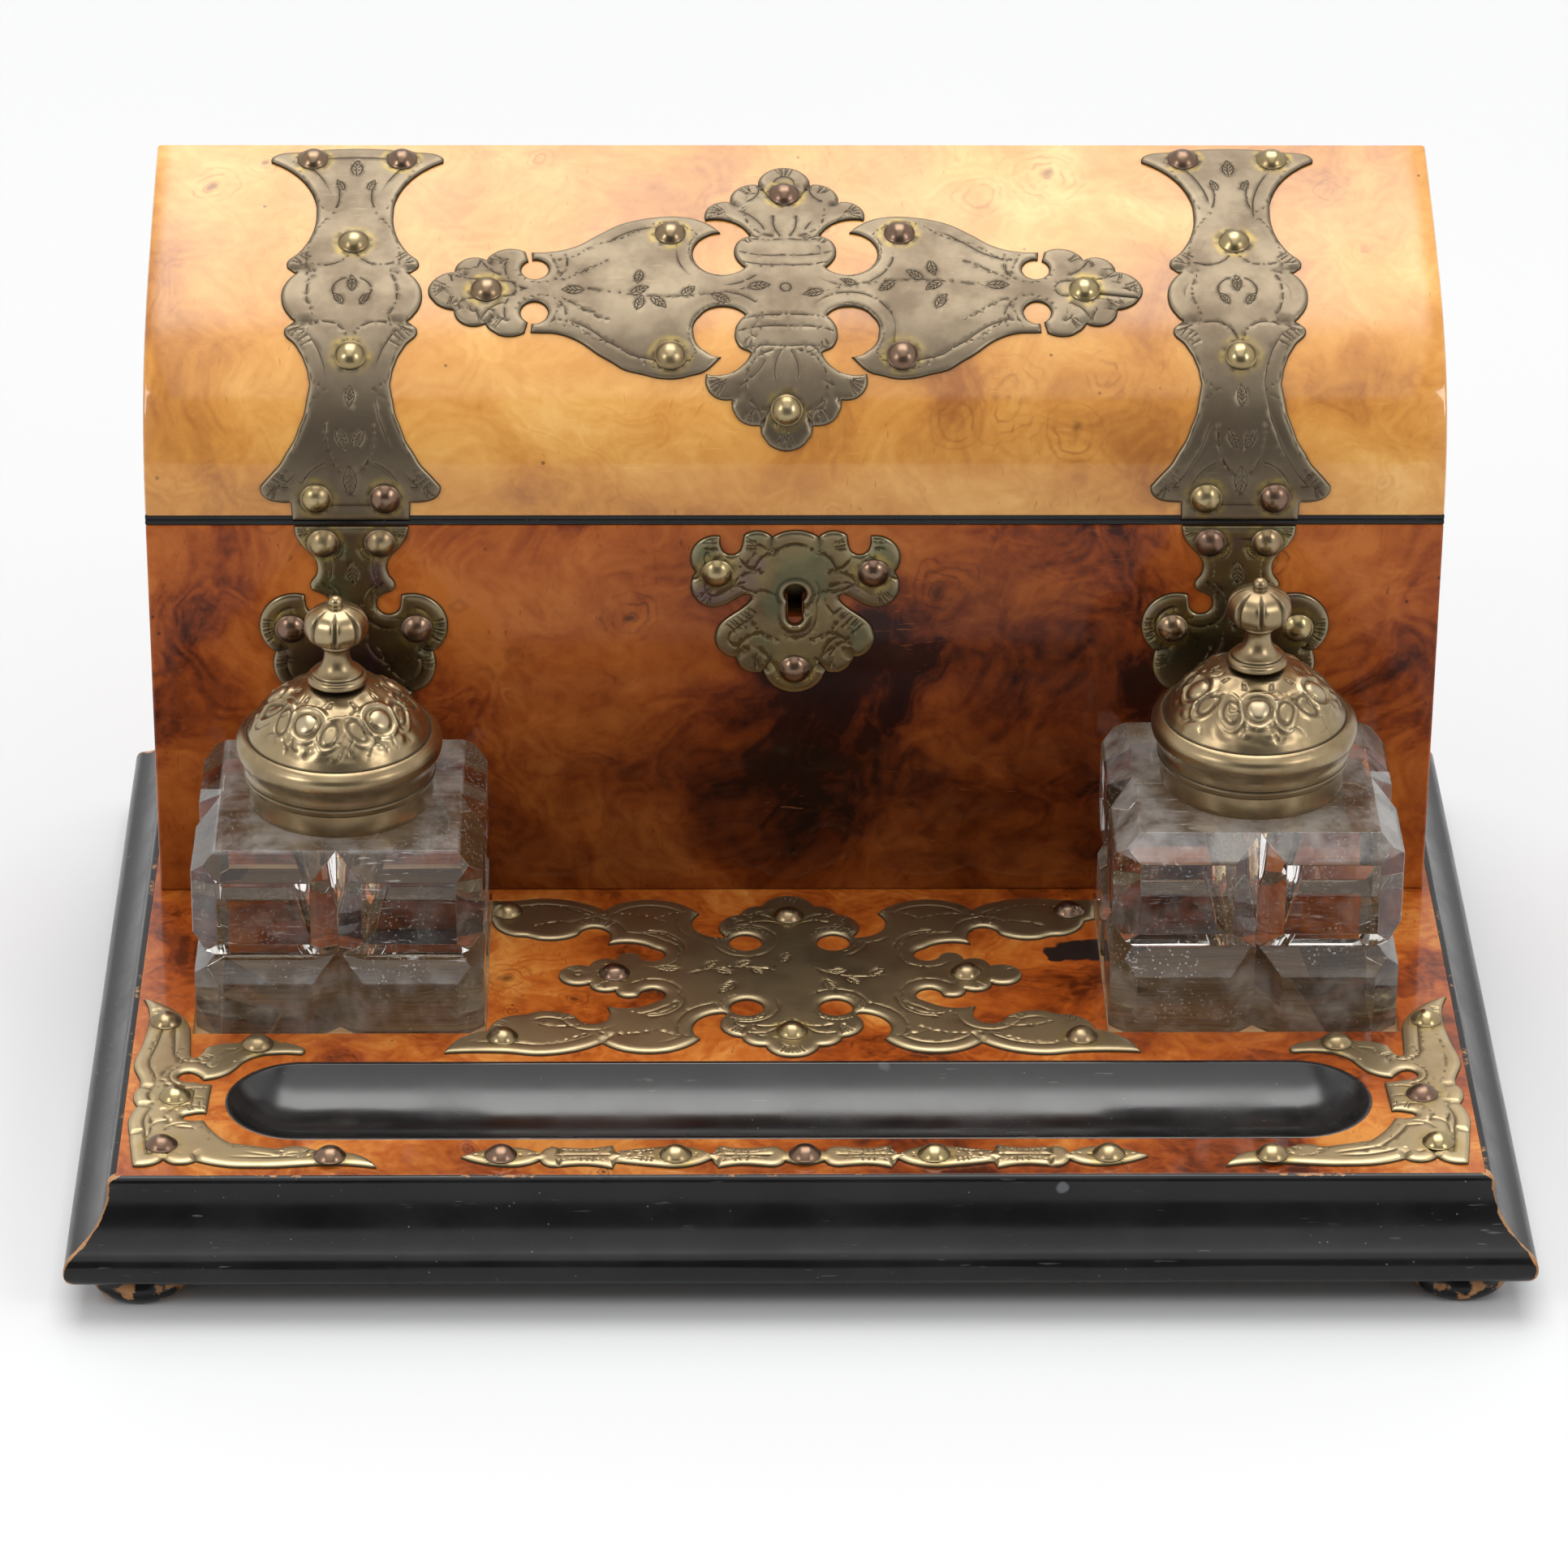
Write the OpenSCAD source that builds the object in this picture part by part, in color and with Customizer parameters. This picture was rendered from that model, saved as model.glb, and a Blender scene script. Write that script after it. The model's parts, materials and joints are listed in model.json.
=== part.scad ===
// Desk stand: a moulded base with a pen tray and two hinged glass inkwells, in front of a
// slope-fronted stationery casket with a lid and a lock, all mounted with engraved brass.
// Millimetres, +Z up, +X to the right, +Y to the rear. The origin is on the table, under the
// middle of the base.

/* [Base] */
// Overall width of the base, over the mouldings
base_w = 330; // [322:1:340]
// Overall depth of the base, over the mouldings
base_d = 242; // [240:1:250]
// Height of the deck above the table
deck_z = 30.5; // [29:0.5:34]
// Height of the bun feet
foot_h = 7; // [6:0.5:8]
// Radius of the bun feet
foot_r = 11.5; // [10:0.5:12.5]
// Width of the moulding that frames the deck
moulding_w = 11.6; // [11:0.2:13]
// Thickness of the walnut deck, which is also the depth of the inkwell recesses
deck_t = 2; // [1.5:0.5:2.5]
// Length of the pen tray
tray_l = 261.4; // [250:0.2:270]
// Width of the pen tray
tray_w = 34.4; // [30:0.2:36]
// Distance from the front edge of the deck to the middle of the pen tray
tray_y = 32.4; // [30:0.1:33]

/* [Casket] */
// Width of the casket
casket_w = 303.4; // [300:0.2:304]
// Depth of the casket
casket_d = 78.5; // [76:0.5:80]
// Distance from the middle of the base back to the front of the casket
casket_y = 20.5; // [20:0.5:22]
// Height of the seam between body and lid above the table
seam_z = 129.5; // [127:0.5:132]
// Thickness of the casket boards
board_t = 7; // [6.5:0.5:8]
// Thickness of each ebonised edging strip along the seam
edging_t = 1.3; // [1.3:0.1:2]
// Thickness of the curved lid board
lid_t = 6; // [5:0.5:7]
// Angle through which the front of the lid leans back from upright to level with its top
lid_bend = 68; // [66:1:70]

/* [Brass] */
// Thickness of the brass plates
plate_t = 1; // [0.8:0.1:1.2]
// Radius of the dome-head nails
nail_r = 3.7; // [3.4:0.1:3.9]
// Height of a nail's dome
nail_h = 2.2; // [1.8:0.1:2.4]

/* [Inkwells] */
// Width of an inkwell's glass, across the front
glass_w = 67; // [64:0.5:68]
// Depth of an inkwell's glass, front to back
glass_d = 65.4; // [63:0.2:65.4]
// Height of the left inkwell's glass, up to its flat top
glass_left_h = 47; // [45:0.2:50]
// Height of the right inkwell's glass, which is cut a little taller
glass_right_h = 51.4; // [47:0.2:53]
// Distance from the middle of the base to the middle of each inkwell
ink_x = 106; // [105:0.5:107]
// Radius of the ink well where it meets the brass collar
well_r = 13; // [11:0.5:14]

/* [Lock and hinges] */
// Width of the lock case
lock_w = 44; // [40:1:48]
// Distance the lock bolt slides
bolt_travel = 4; // [3:0.5:4]
// Length of each hinge of the casket lid
hinge_l = 36; // [30:1:40]
// Distance from the middle of the casket to the middle of each hinge
hinge_x = 95; // [85:1:105]

/* [Hidden] */
$fn = 48;
// Parts that touch curved faces are kept apart by this much
fit = 0.1;
cut = 1;

deck_w = base_w - 2 * moulding_w;
deck_d = base_d - 2 * moulding_w;
board_z = deck_z - deck_t;
front_y = casket_y;
back_y = casket_y + casket_d;
body_z = seam_z - edging_t;
lid_z = seam_z + edging_t;
tray_mid_y = tray_y - deck_d / 2;
tray_t = 9;
tray_rim = 1.2;
tray_dish = 6.8;
// Space between the glass and the front of the casket
ink_gap = 1.6;
ink_y = front_y - ink_gap - glass_d / 2;
foot_x = base_w / 2 - 16;
foot_y = base_d / 2 - 15.5;
floor_t = 6;
half_w = casket_w / 2;
shank_r = 0.9;
shank_l = 3;
nail_facets = 6;
// Wood screws that hold the feet and the casket
screw_r = 1.6;
screw_head_r = 3.2;
screw_head_h = 2.4;
screw_tip = 2;
foot_screw_l = 9;
foot_bore_h = 3;
// The lock, behind the middle of the front board, and its screws
lock_y = front_y + 3.3;
lock_d = 9;
lock_low = seam_z - 31;
lock_wall = 1.5;
lock_mid_y = lock_y + lock_d / 2;
lock_screw_r = 1.2;
lock_screw_l = lock_d + 2;
link_screw_r = 0.9;
link_screw_l = 5.3;
// The hinges of the casket lid
hinge_y = back_y + 1.2;
hinge_inset = board_t - 1;
knuckle_r = 2.4;
knuckle_room = 0.3;
knuckle_gap = 0.15;
hinge_pin_r = 1.1;
hinge_screw_r = 1.1;
hinge_screw_l = 8;

// Colours of the materials
walnut = "sienna";
ebony = "#1c1614";
brass = "#8c7a4c";
bright_brass = "#c2a867";
steel = "#8a8a8c";
oak = "#a87a48";
clear_glass = [0.85, 0.88, 0.88, 0.5];

// ---- Outlines -------------------------------------------------------------------------------
// A corner is [x, y, bend]. bend is the tangent of a quarter of the angle of the arc to the next
// corner: positive swells outward on a loop that runs anticlockwise, 0 is straight.

function arc_point(p, q, bend, t) =
    let (d = q - p, half = 2 * atan(bend), a = 2 * half * (t - 0.5))
    (p + q) / 2 + (bend == 0 ? d * (t - 0.5)
        : d * sin(a) / sin(half) / 2 + [d.y, -d.x] * (cos(a) - cos(half)) / sin(half) / 2);

function trace(corners, step = 24) =
    [for (i = [0 : len(corners) - 2])
        let (p = [corners[i].x, corners[i].y],
             q = [corners[i + 1].x, corners[i + 1].y],
             bend = corners[i][2],
             n = max(1, ceil(abs(4 * atan(bend)) / step)))
        for (k = [0 : n - 1]) arc_point(p, q, bend, k / n),
     [corners[len(corners) - 1].x, corners[len(corners) - 1].y]];

// Closes a path that runs from the right tip to the top tip, in all four quarters
function four_ways(path) =
    let (n = len(path))
    concat(path,
        [for (i = [n - 2 : -1 : 0]) [-path[i].x, path[i].y]],
        [for (i = [1 : n - 1]) [-path[i].x, -path[i].y]],
        [for (i = [n - 2 : -1 : 1]) [path[i].x, -path[i].y]]);

// Closes a path that runs up the right side, from the axis to the axis
function two_ways(path) =
    concat(path, [for (i = [len(path) - 2 : -1 : 1]) [-path[i].x, path[i].y]]);

// Places that repeat in all four quarters
function corners_of(x, y) = [for (sx = [-1, 1], sy = [-1, 1]) [sx * x, sy * y]];

// ---- Brass outlines -------------------------------------------------------------------------
// Quarter of the deck cartouche: side trefoil, hook, wing, front lobes, centre fan
deck_cartouche_path = trace([
    [54.4, 0, 0.6], [47.2, 3.8, 0.6], [41, 6.9, 0.7],
    [35.5, 9.3, -1.84], [31.3, 12.4, -0.32],
    [43, 14.6, 0.1], [42.4, 19.2, -0.87], [50, 19.6, 0.36], [62, 18.4, 0.4],
    [70.4, 25.5, 0.28], [80.3, 35.6, -0.04], [66, 35.4, 0.26],
    [43.9, 31, 0.5], [21.3, 29.3, -0.66], [15.6, 17.5, 0],
    [14.9, 18.4, 0.62], [11.6, 28.5, 0.42], [6.2, 32.6, 0.35], [0, 37.6, 0]]);
deck_cartouche_eye = [10.4, 15.2, 3.9];
deck_cartouche_at = [-1.2, -21.1];
deck_cartouche_nails = concat([[0, -27], [0, 27], [-41.3, 0], [41.3, 0]], corners_of(67, 29.4));

// Corner mount, from the corner of the deck: front arm, hooked leaf, inner horn, side arm
corner_path = trace([
    [3.6, 3.6, 0.35], [10.3, 6.4, 0.5], [17.6, 5.6, 0.14], [32, 2.7, -0.03], [51.5, 3.7, 0.02],
    [58.2, 2.5, 0.3], [50.2, 9, 0.05], [43.8, 10.1, 0.33], [35.7, 10.4, 0.1], [25, 13, -0.12],
    [18.4, 23, -0.15], [14.6, 22.9, -0.9], [14.8, 25.6, -0.15], [18.8, 26.2, -0.06],
    [19.3, 38.6, -0.12], [14.6, 39.9, -2], [15.4, 43.5, 0.1], [17.3, 40.9, 0.24],
    [24.5, 46.2, -0.32], [33.5, 52.5, 0.05], [39, 52.2, 0.6], [38.8, 55.5, 0.12],
    [33.8, 57.6, 0.45], [24.4, 57.2, 0.15], [17, 55.2, -0.1], [15.6, 51.2, -0.9],
    [13.7, 51.6, -0.05], [13.3, 58.5, 0.33], [1.2, 77.5, -0.11], [3.1, 66.5, -0.02],
    [2.4, 57.5, 0.17], [2.8, 37.6, 0.28], [2.9, 29.3, 0.17], [1.9, 16.8, -0.05], [3.6, 3.6, 0]]);
corner_nails = [[7.1, 66.2], [28.9, 55.9], [11.3, 32.6], [9.6, 11.6], [47.6, 6.6]];

// Quarter of the front strip: leaf, tulip, leaf, tulip, boss
strip_path = trace([
    [77.3, 0, 0.12], [68, 3.8, 0.25], [59.5, 1.3, 0.45], [55, 4, -0.17], [43.2, 4.9, 0],
    [42.4, 2.2, -0.06], [33.5, 3.9, 0.28], [21, 0.9, 0], [19.4, 4.6, -0.17],
    [9, 3.9, 0.4], [4.3, 1.8, 0.16], [0, 3.2, 0]]);
strip_at = [0.8, 6.9];
strip_nails = [for (x = [-68.3, -29, 0, 29, 68.3]) [x, 0]];

// Half of the escutcheon, about the round of the keyhole
escutcheon_path = trace([
    [0, -26.2, 0.34], [7.4, -20.6, 0.5], [13.9, -16.9, 0.53], [18.4, -9.6, 0.06],
    [10.7, -2, -0.9], [11.9, -0.4, -0.05], [16.7, -3.1, 0.66], [24.3, 3.4, 0.2],
    [23.3, 5.4, 0.7], [17.6, 15, 0], [17.4, 12.4, -0.95], [12.6, 12.4, 0], [12.1, 15.2, 0.4],
    [5.4, 14.8, 0.15], [0, 16.5, 0]]);
escutcheon_nails = [[-18.3, 5.6], [18.3, 5.6], [0, -19.7]];
keyhole_z = seam_z - 19;
keyhole_r = 2.4;
keyhole_w = 3.4;
keyhole_l = 6.4;

// Half of a body strap, down from its top edge: bottom lobe, lobes, round ear, hook, neck
body_strap_path = trace([
    [0, -51.8, 0.34], [7.4, -46.4, 0.4], [13.6, -44, 0.43], [18.6, -33, 0.85],
    [11.3, -18, 0], [11.1, -20.3, -1.86], [7.2, -17.8, 0], [8.9, -17.1, 0.45],
    [9.7, -14.4, -0.4], [9.3, -7.7, 0.16], [13.3, -1.5, 0], [13.3, 0, 0], [0, 0, 0]]);
body_strap_x = 103.7;
body_strap_nails = [[-6.7, -4.1], [6.7, -4.1], [-14.8, -26.6], [14.8, -26.6], [0, -45.5]];

// Half of a lid strap, [across, along the curve up from the lid's lower edge]
lid_strap_path = trace([
    [0, -2.3, 0], [13.7, -2.3, 0], [13.9, 2.3, 0.12], [19, 2.9, 0.35], [21, 6.4, -0.18],
    [9.4, 30.9, -0.19], [15.4, 44.2, 0.3], [14.9, 46.3, 0], [13, 47.8, 0.47], [13, 62.6, 0],
    [14.9, 64, 0.3], [15.4, 66.2, -0.19], [9.1, 80.5, -0.3], [20.4, 101.4, 0.35],
    [19.6, 103.8, 0.05], [13.5, 105.2, 0], [0, 105.2, 0]], 12);
lid_strap_nails = [[-8, 4.6], [8, 4.6], [0, 38.4], [0, 72.4], [-10.6, 101.6], [10.6, 101.6]];

// Quarter of the lid cartouche: end trefoil, hook, wing, open scroll, collar, fan
lid_cartouche_path = trace([
    [83.7, 0, 0.37], [77.6, 5.9, 0.6], [70.2, 9.9, 0.46], [61, 12.5, 0],
    [60.3, 9.5, -1], [57.3, 3.9, -0.87], [59.4, 9.9, 0], [59.6, 12.4, -0.23],
    [44.5, 17.9, 0.155], [31, 24.2, 0.16], [20, 23.2, 0.12], [15.2, 19, -1.5],
    [9.4, 7.4, 0], [10.9, 9.2, 0.35], [10.6, 16.6, 0], [8.2, 17.8, -0.4],
    [18.7, 23.4, 0.58], [12.8, 29.7, 0.5], [6.2, 36, 0.4], [0, 42.2, 0]]);
lid_cartouche_at = [-2.2, 56.8];
lid_cartouche_nails = concat([[0, -32], [0, 32], [-70, 0], [70, 0]], corners_of(27, 18.4));

// ---- Curve of the lid -----------------------------------------------------------------------
// [y, z] points of the outside of the lid, from its lower front edge to its rear edge: a short
// upright, three arcs that lean back, and a flat arc that ends at the back of the casket.
lid_upright = 1.4;
lid_arcs = [[53.4, 0.22], [36.8, 0.555], [73, 0.225]];
lid_top_r = 375;
lid_step = 5;

function arc_run(p, heading, r, sweep) =
    let (n = max(2, ceil(sweep / lid_step)))
    [for (k = [1 : n]) let (a = sweep * k / n, d = heading - a / 2)
        p + 2 * r * sin(a / 2) * [cos(d), sin(d)]];

function arc_chain(p, heading, i = 0) =
    let (r = i < len(lid_arcs) ? lid_arcs[i][0] : lid_top_r,
         sweep = i < len(lid_arcs) ? lid_arcs[i][1] * lid_bend
            : heading - asin(sin(heading) - (back_y - p.x) / r),
         run = arc_run(p, heading, r, sweep))
    concat(run, i == len(lid_arcs) ? []
        : arc_chain(run[len(run) - 1], heading - sweep, i + 1));

lid_curve = let (start = [front_y, lid_z + lid_upright])
    concat([[front_y, lid_z], start], arc_chain(start, 90));
lid_end = lid_curve[len(lid_curve) - 1];

function leg_angle(c, i) = let (j = min(i, len(c) - 2)) atan2(c[j + 1].y - c[j].y, c[j + 1].x - c[j].x);

// The lid's curve moved outward by d, cut off square at both ends
function lid_offset(d) =
    [for (i = [0 : len(lid_curve) - 1])
        let (a = leg_angle(lid_curve, max(0, i - 1)), b = leg_angle(lid_curve, i), m = (a + b) / 2)
        i == 0 ? lid_curve[0] + [-d, 0]
            : i == len(lid_curve) - 1 ? lid_end + [0, d / cos(a)]
            : lid_curve[i] + d / cos((a - b) / 2) * [-sin(m), cos(m)]];

lid_inner = lid_offset(-lid_t);
rear_inner = back_y - board_t;

// Length along the curve up to each point
function run_lengths(c, i = 0, s = 0) =
    i == len(c) - 1 ? [s] : concat([s], run_lengths(c, i + 1, s + norm(c[i + 1] - c[i])));
lid_runs = run_lengths(lid_curve);

// Leg of the curve that holds the length s, the point there, and the slope there
function leg_at(s, i = 0) = (i == len(lid_curve) - 2 || s < lid_runs[i + 1]) ? i : leg_at(s, i + 1);
function on_lid(s) =
    let (i = leg_at(s), t = (s - lid_runs[i]) / (lid_runs[i + 1] - lid_runs[i]))
    lid_curve[i] + t * (lid_curve[i + 1] - lid_curve[i]);
function lid_slope(s) = leg_angle(lid_curve, leg_at(s));

// ---- Shared shapes --------------------------------------------------------------------------
module box(low, high) {
    translate(low) cube(high - low);
}

// Extrudes a [y, z] outline across the width, from x0 to x1
module across(points, x0, x1) {
    translate([x0, 0, 0]) rotate([90, 0, 90]) linear_extrude(x1 - x0) polygon(points);
}

module stadium(l, w) {
    square([l - w, w], center = true);
    for (s = [-1, 1]) translate([s * (l - w) / 2, 0]) circle(d = w);
}

// Dome-head nail, standing on the plate it holds, with its shank down
module nail() {
    dome_r = (nail_r * nail_r + nail_h * nail_h) / (2 * nail_h);
    half = asin(nail_r / dome_r);
    rotate_extrude() polygon(concat(
        [[0, -plate_t - shank_l], [shank_r, -plate_t - shank_l], [shank_r, 0]],
        [for (k = [0 : nail_facets]) let (a = half * (1 - k / nail_facets))
            [dome_r * sin(a), dome_r * (cos(a) - 1) + nail_h]]));
}

// Bore for a nail's shank, from below its tip to above the plate
module nail_hole() {
    translate([0, 0, -plate_t - shank_l - fit])
        cylinder(r = shank_r + fit, h = shank_l + fit + 2 * plate_t + cut);
}

module on_deck(at, z = 0) {
    translate([at.x, at.y, deck_z + z]) children();
}

// Local x to the right, y up, z out of the front of the casket
module on_front(at, out = 0) {
    translate([at.x, front_y - out, at.y]) rotate([90, 0, 0]) children();
}

module on_lid_at(x, s, out = 0) {
    p = on_lid(s);
    translate([x, p.x, p.y]) rotate([lid_slope(s), 0, 0]) translate([0, 0, out]) children();
}

// ---- Places of the nails --------------------------------------------------------------------
module deck_nail_places(out = 0) {
    for (p = deck_cartouche_nails) on_deck(deck_cartouche_at + p, out) children();
    for (s = [-1, 1], p = corner_nails)
        on_deck([s * (deck_w / 2 - p.x), p.y - deck_d / 2], out) children();
    for (p = strip_nails) on_deck([p.x + strip_at.x, strip_at.y - deck_d / 2], out) children();
}

module body_nail_places(out = 0) {
    for (p = escutcheon_nails) on_front([p.x, keyhole_z + p.y], out) children();
    for (s = [-1, 1], p = body_strap_nails)
        on_front([s * body_strap_x + p.x, body_z + p.y], out) children();
}

module lid_nail_places(out = 0) {
    for (s = [-1, 1], p = lid_strap_nails) on_lid_at(s * body_strap_x + p.x, p.y, out) children();
    for (p = lid_cartouche_nails)
        on_lid_at(lid_cartouche_at.x + p.x, lid_cartouche_at.y + p.y, out) children();
}

// ---- Base -----------------------------------------------------------------------------------
module ink_footprint(gap, side) {
    translate([side * ink_x - glass_w / 2 - gap, ink_y - glass_d / 2 - gap])
        square([glass_w + 2 * gap, glass_d + 2 * gap]);
}

casket_screw_at = [for (sx = [-1, 1], y = [front_y + 22, back_y - 22]) [sx * 110, y]];

module screw_bores(z0, z1) {
    for (p = casket_screw_at) translate([p.x, p.y, z0]) cylinder(r = screw_r + fit, h = z1 - z0);
}

module base_board() {
    color(oak) difference() {
        box([-deck_w / 2, -deck_d / 2, foot_h], [deck_w / 2, deck_d / 2, board_z]);
        translate([0, tray_mid_y, deck_z - tray_t]) linear_extrude(tray_t) stadium(tray_l, tray_w);
        deck_nail_places() nail_hole();
        screw_bores(foot_h - cut, deck_z);
        for (p = casket_screw_at) translate([p.x, p.y, foot_h - cut])
            cylinder(r = screw_head_r + fit, h = cut + screw_head_h);
        foot_places() translate([0, 0, foot_h - cut])
            cylinder(r = screw_r + fit, h = cut + foot_screw_l);
    }
}

module deck_board() {
    color(walnut) difference() {
        box([-deck_w / 2, -deck_d / 2, board_z], [deck_w / 2, deck_d / 2, deck_z]);
        translate([0, 0, board_z - cut]) linear_extrude(deck_t + 2 * cut) {
            translate([0, tray_mid_y]) stadium(tray_l, tray_w);
            for (s = [-1, 1]) ink_footprint(0.4, s);
        }
        deck_nail_places() nail_hole();
        screw_bores(board_z - cut, deck_z + cut);
    }
}

module pen_tray() {
    half = tray_w / 2 - tray_rim;
    dish_r = (half * half + tray_dish * tray_dish) / (2 * tray_dish);
    color(ebony) translate([0, tray_mid_y, deck_z]) difference() {
        translate([0, 0, -tray_t]) linear_extrude(tray_t) stadium(tray_l, tray_w);
        translate([0, 0, dish_r - tray_dish]) {
            rotate([0, 90, 0]) cylinder(r = dish_r, h = tray_l - tray_w, center = true, $fn = 96);
            for (s = [-1, 1]) translate([s * (tray_l - tray_w) / 2, 0, 0]) sphere(r = dish_r, $fn = 96);
        }
    }
}

// Section of the moulding, [out from the deck, height]: round nose below, hollow above
nose_r = 4.6;
moulding_section = let (nose_x = moulding_w - nose_r, nose_z = foot_h + nose_r)
    concat(trace([[0, foot_h, 0], [nose_x, foot_h, 0.41], [moulding_w, nose_z, 0.3],
        [nose_x + 2.2, nose_z + 4.2, -0.28], [1.8, deck_z - 1.6, 0.3], [0.9, deck_z, 0], [0, deck_z, 0]], 12));

// A length of moulding along +X whose deck edge is at y = 0, mitred at both ends
module moulding(l) {
    far = moulding_w + cut;
    intersection() {
        across([for (p = moulding_section) [-p.x, p.y]], -l / 2 - far, l / 2 + far);
        linear_extrude(deck_z + cut)
            polygon([[-l / 2, 0], [-l / 2 - far, -far], [l / 2 + far, -far], [l / 2, 0]]);
    }
}

module moulding_front() color(ebony) translate([0, -deck_d / 2, 0]) moulding(deck_w);
module moulding_back() color(ebony) rotate([0, 0, 180]) translate([0, -deck_d / 2, 0]) moulding(deck_w);
module moulding_left() color(ebony) rotate([0, 0, -90]) translate([0, -deck_w / 2, 0]) moulding(deck_d);
module moulding_right() color(ebony) rotate([0, 0, 90]) translate([0, -deck_w / 2, 0]) moulding(deck_d);

module foot_places() {
    for (sx = [-1, 1], sy = [-1, 1]) translate([sx * foot_x, sy * foot_y, 0]) children();
}

module bun_feet() {
    color(ebony) foot_places() difference() {
        rotate_extrude() polygon(trace([[0, 0, 0], [foot_r - 3, 0, 0.3], [foot_r, foot_h * 0.45, 0.3],
            [foot_r - 2, foot_h, 0], [0, foot_h, 0]], 15));
        translate([0, 0, -cut]) cylinder(r = screw_head_r + fit, h = cut + foot_bore_h);
        cylinder(r = screw_r + fit, h = foot_h + cut);
    }
}

// Wood screw standing head down, its head's face at z = 0
module screw(l) {
    rotate_extrude() polygon([[0, 0], [screw_head_r, 0], [screw_head_r, 0.4],
        [screw_r, screw_head_h], [screw_r, l - screw_tip], [0, l]]);
}

module foot_screws() {
    color(steel) foot_places() translate([0, 0, foot_bore_h - screw_head_h])
        screw(foot_h + foot_screw_l - foot_bore_h);
}

// ---- Brass on the deck ----------------------------------------------------------------------
module deck_cartouche() {
    color(brass) difference() {
        on_deck(deck_cartouche_at) linear_extrude(plate_t) difference() {
            polygon(four_ways(deck_cartouche_path));
            for (p = corners_of(deck_cartouche_eye.x, deck_cartouche_eye.y))
                translate(p) circle(r = deck_cartouche_eye.z);
        }
        for (s = [-1, 1]) translate([0, 0, deck_z - cut])
            linear_extrude(plate_t + 2 * cut) ink_footprint(0.6, s);
        deck_nail_places() nail_hole();
    }
}

module corner_mount(side) {
    color(brass) difference() {
        on_deck([side * deck_w / 2, -deck_d / 2]) linear_extrude(plate_t)
            polygon([for (p = corner_path) [-side * p.x, p.y]]);
        deck_nail_places() nail_hole();
    }
}
module corner_mount_left() corner_mount(-1);
module corner_mount_right() corner_mount(1);

module front_strip() {
    color(brass) difference() {
        on_deck([strip_at.x, strip_at.y - deck_d / 2]) linear_extrude(plate_t)
            polygon(four_ways(strip_path));
        deck_nail_places() nail_hole();
    }
}

module deck_nails() color(bright_brass) deck_nail_places(plate_t) nail();

// ---- Casket body ----------------------------------------------------------------------------
module keyhole(depth) {
    cylinder(r = keyhole_r, h = depth, center = true);
    translate([-keyhole_w / 2, -keyhole_l, -depth / 2]) cube([keyhole_w, keyhole_l, depth]);
}

module lock_space() {
    box([-lock_w / 2, lock_y, lock_low], [lock_w / 2, lock_y + lock_d, lid_z]);
}

// Room for the leaves and for the knuckles of both hinges
module hinge_space() {
    for (s = [-1, 1]) {
        box([s * hinge_x - hinge_l / 2, back_y - hinge_inset, body_z],
            [s * hinge_x + hinge_l / 2, back_y + cut, lid_z]);
        box([s * hinge_x - hinge_l / 2, hinge_y - knuckle_r - knuckle_room, seam_z - knuckle_r - knuckle_room],
            [s * hinge_x + hinge_l / 2, back_y + cut, seam_z + knuckle_r + knuckle_room]);
    }
}

module casket_front() {
    color(walnut) difference() {
        box([-half_w, front_y, deck_z], [half_w, front_y + board_t, body_z]);
        body_nail_places() nail_hole();
        on_front([0, keyhole_z]) keyhole(2 * board_t);
        lock_space();
        lock_screw_places() lock_screw_bore();
    }
}

module casket_side(side) {
    color(walnut) box([side > 0 ? half_w - board_t : -half_w, front_y + board_t, deck_z],
        [side > 0 ? half_w : -half_w + board_t, back_y - board_t, body_z]);
}
module casket_left() casket_side(-1);
module casket_right() casket_side(1);

module casket_back() {
    color(walnut) difference() {
        box([-half_w, back_y - board_t, deck_z], [half_w, back_y, body_z]);
        hinge_space();
        hinge_screw_places() cylinder(r = hinge_screw_r + fit, h = 2 * hinge_screw_l, center = true);
    }
}

module casket_floor() {
    color(oak) difference() {
        box([-half_w + board_t, front_y + board_t, deck_z],
            [half_w - board_t, back_y - board_t, deck_z + floor_t]);
        screw_bores(deck_z - cut, deck_z + floor_t - 1);
    }
}

module casket_screws() {
    color(steel) for (p = casket_screw_at) translate([p.x, p.y, foot_h])
        screw(deck_z + floor_t - 1.5 - foot_h);
}

// Four mitred strips round the rim of the casket, the side ones a hair short so that they stay apart
module edging(z0, z1) {
    w = half_w;
    e = board_t;
    hair = 0.05;
    front = [[-w, front_y], [w, front_y], [w - e, front_y + e], [-w + e, front_y + e]];
    rear = [[w, back_y], [-w, back_y], [-w + e, back_y - e], [w - e, back_y - e]];
    side = [[w, front_y + hair], [w, back_y - hair], [w - e, back_y - e - hair], [w - e, front_y + e + hair]];
    translate([0, 0, z0]) linear_extrude(z1 - z0) {
        polygon(front);
        polygon(rear);
        for (s = [-1, 1]) polygon([for (p = side) [s * p.x, p.y]]);
    }
}

module casket_edging() {
    color(ebony) difference() {
        edging(body_z, seam_z);
        lock_space();
        hinge_space();
    }
}

module escutcheon() {
    color(brass) difference() {
        union() {
            on_front([0, keyhole_z]) linear_extrude(plate_t) polygon(two_ways(escutcheon_path));
            on_front([0, keyhole_z]) linear_extrude(plate_t + 0.5) circle(r = keyhole_r + 1.2);
        }
        body_nail_places() nail_hole();
        on_front([0, keyhole_z]) keyhole(2 * board_t);
    }
}

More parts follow.
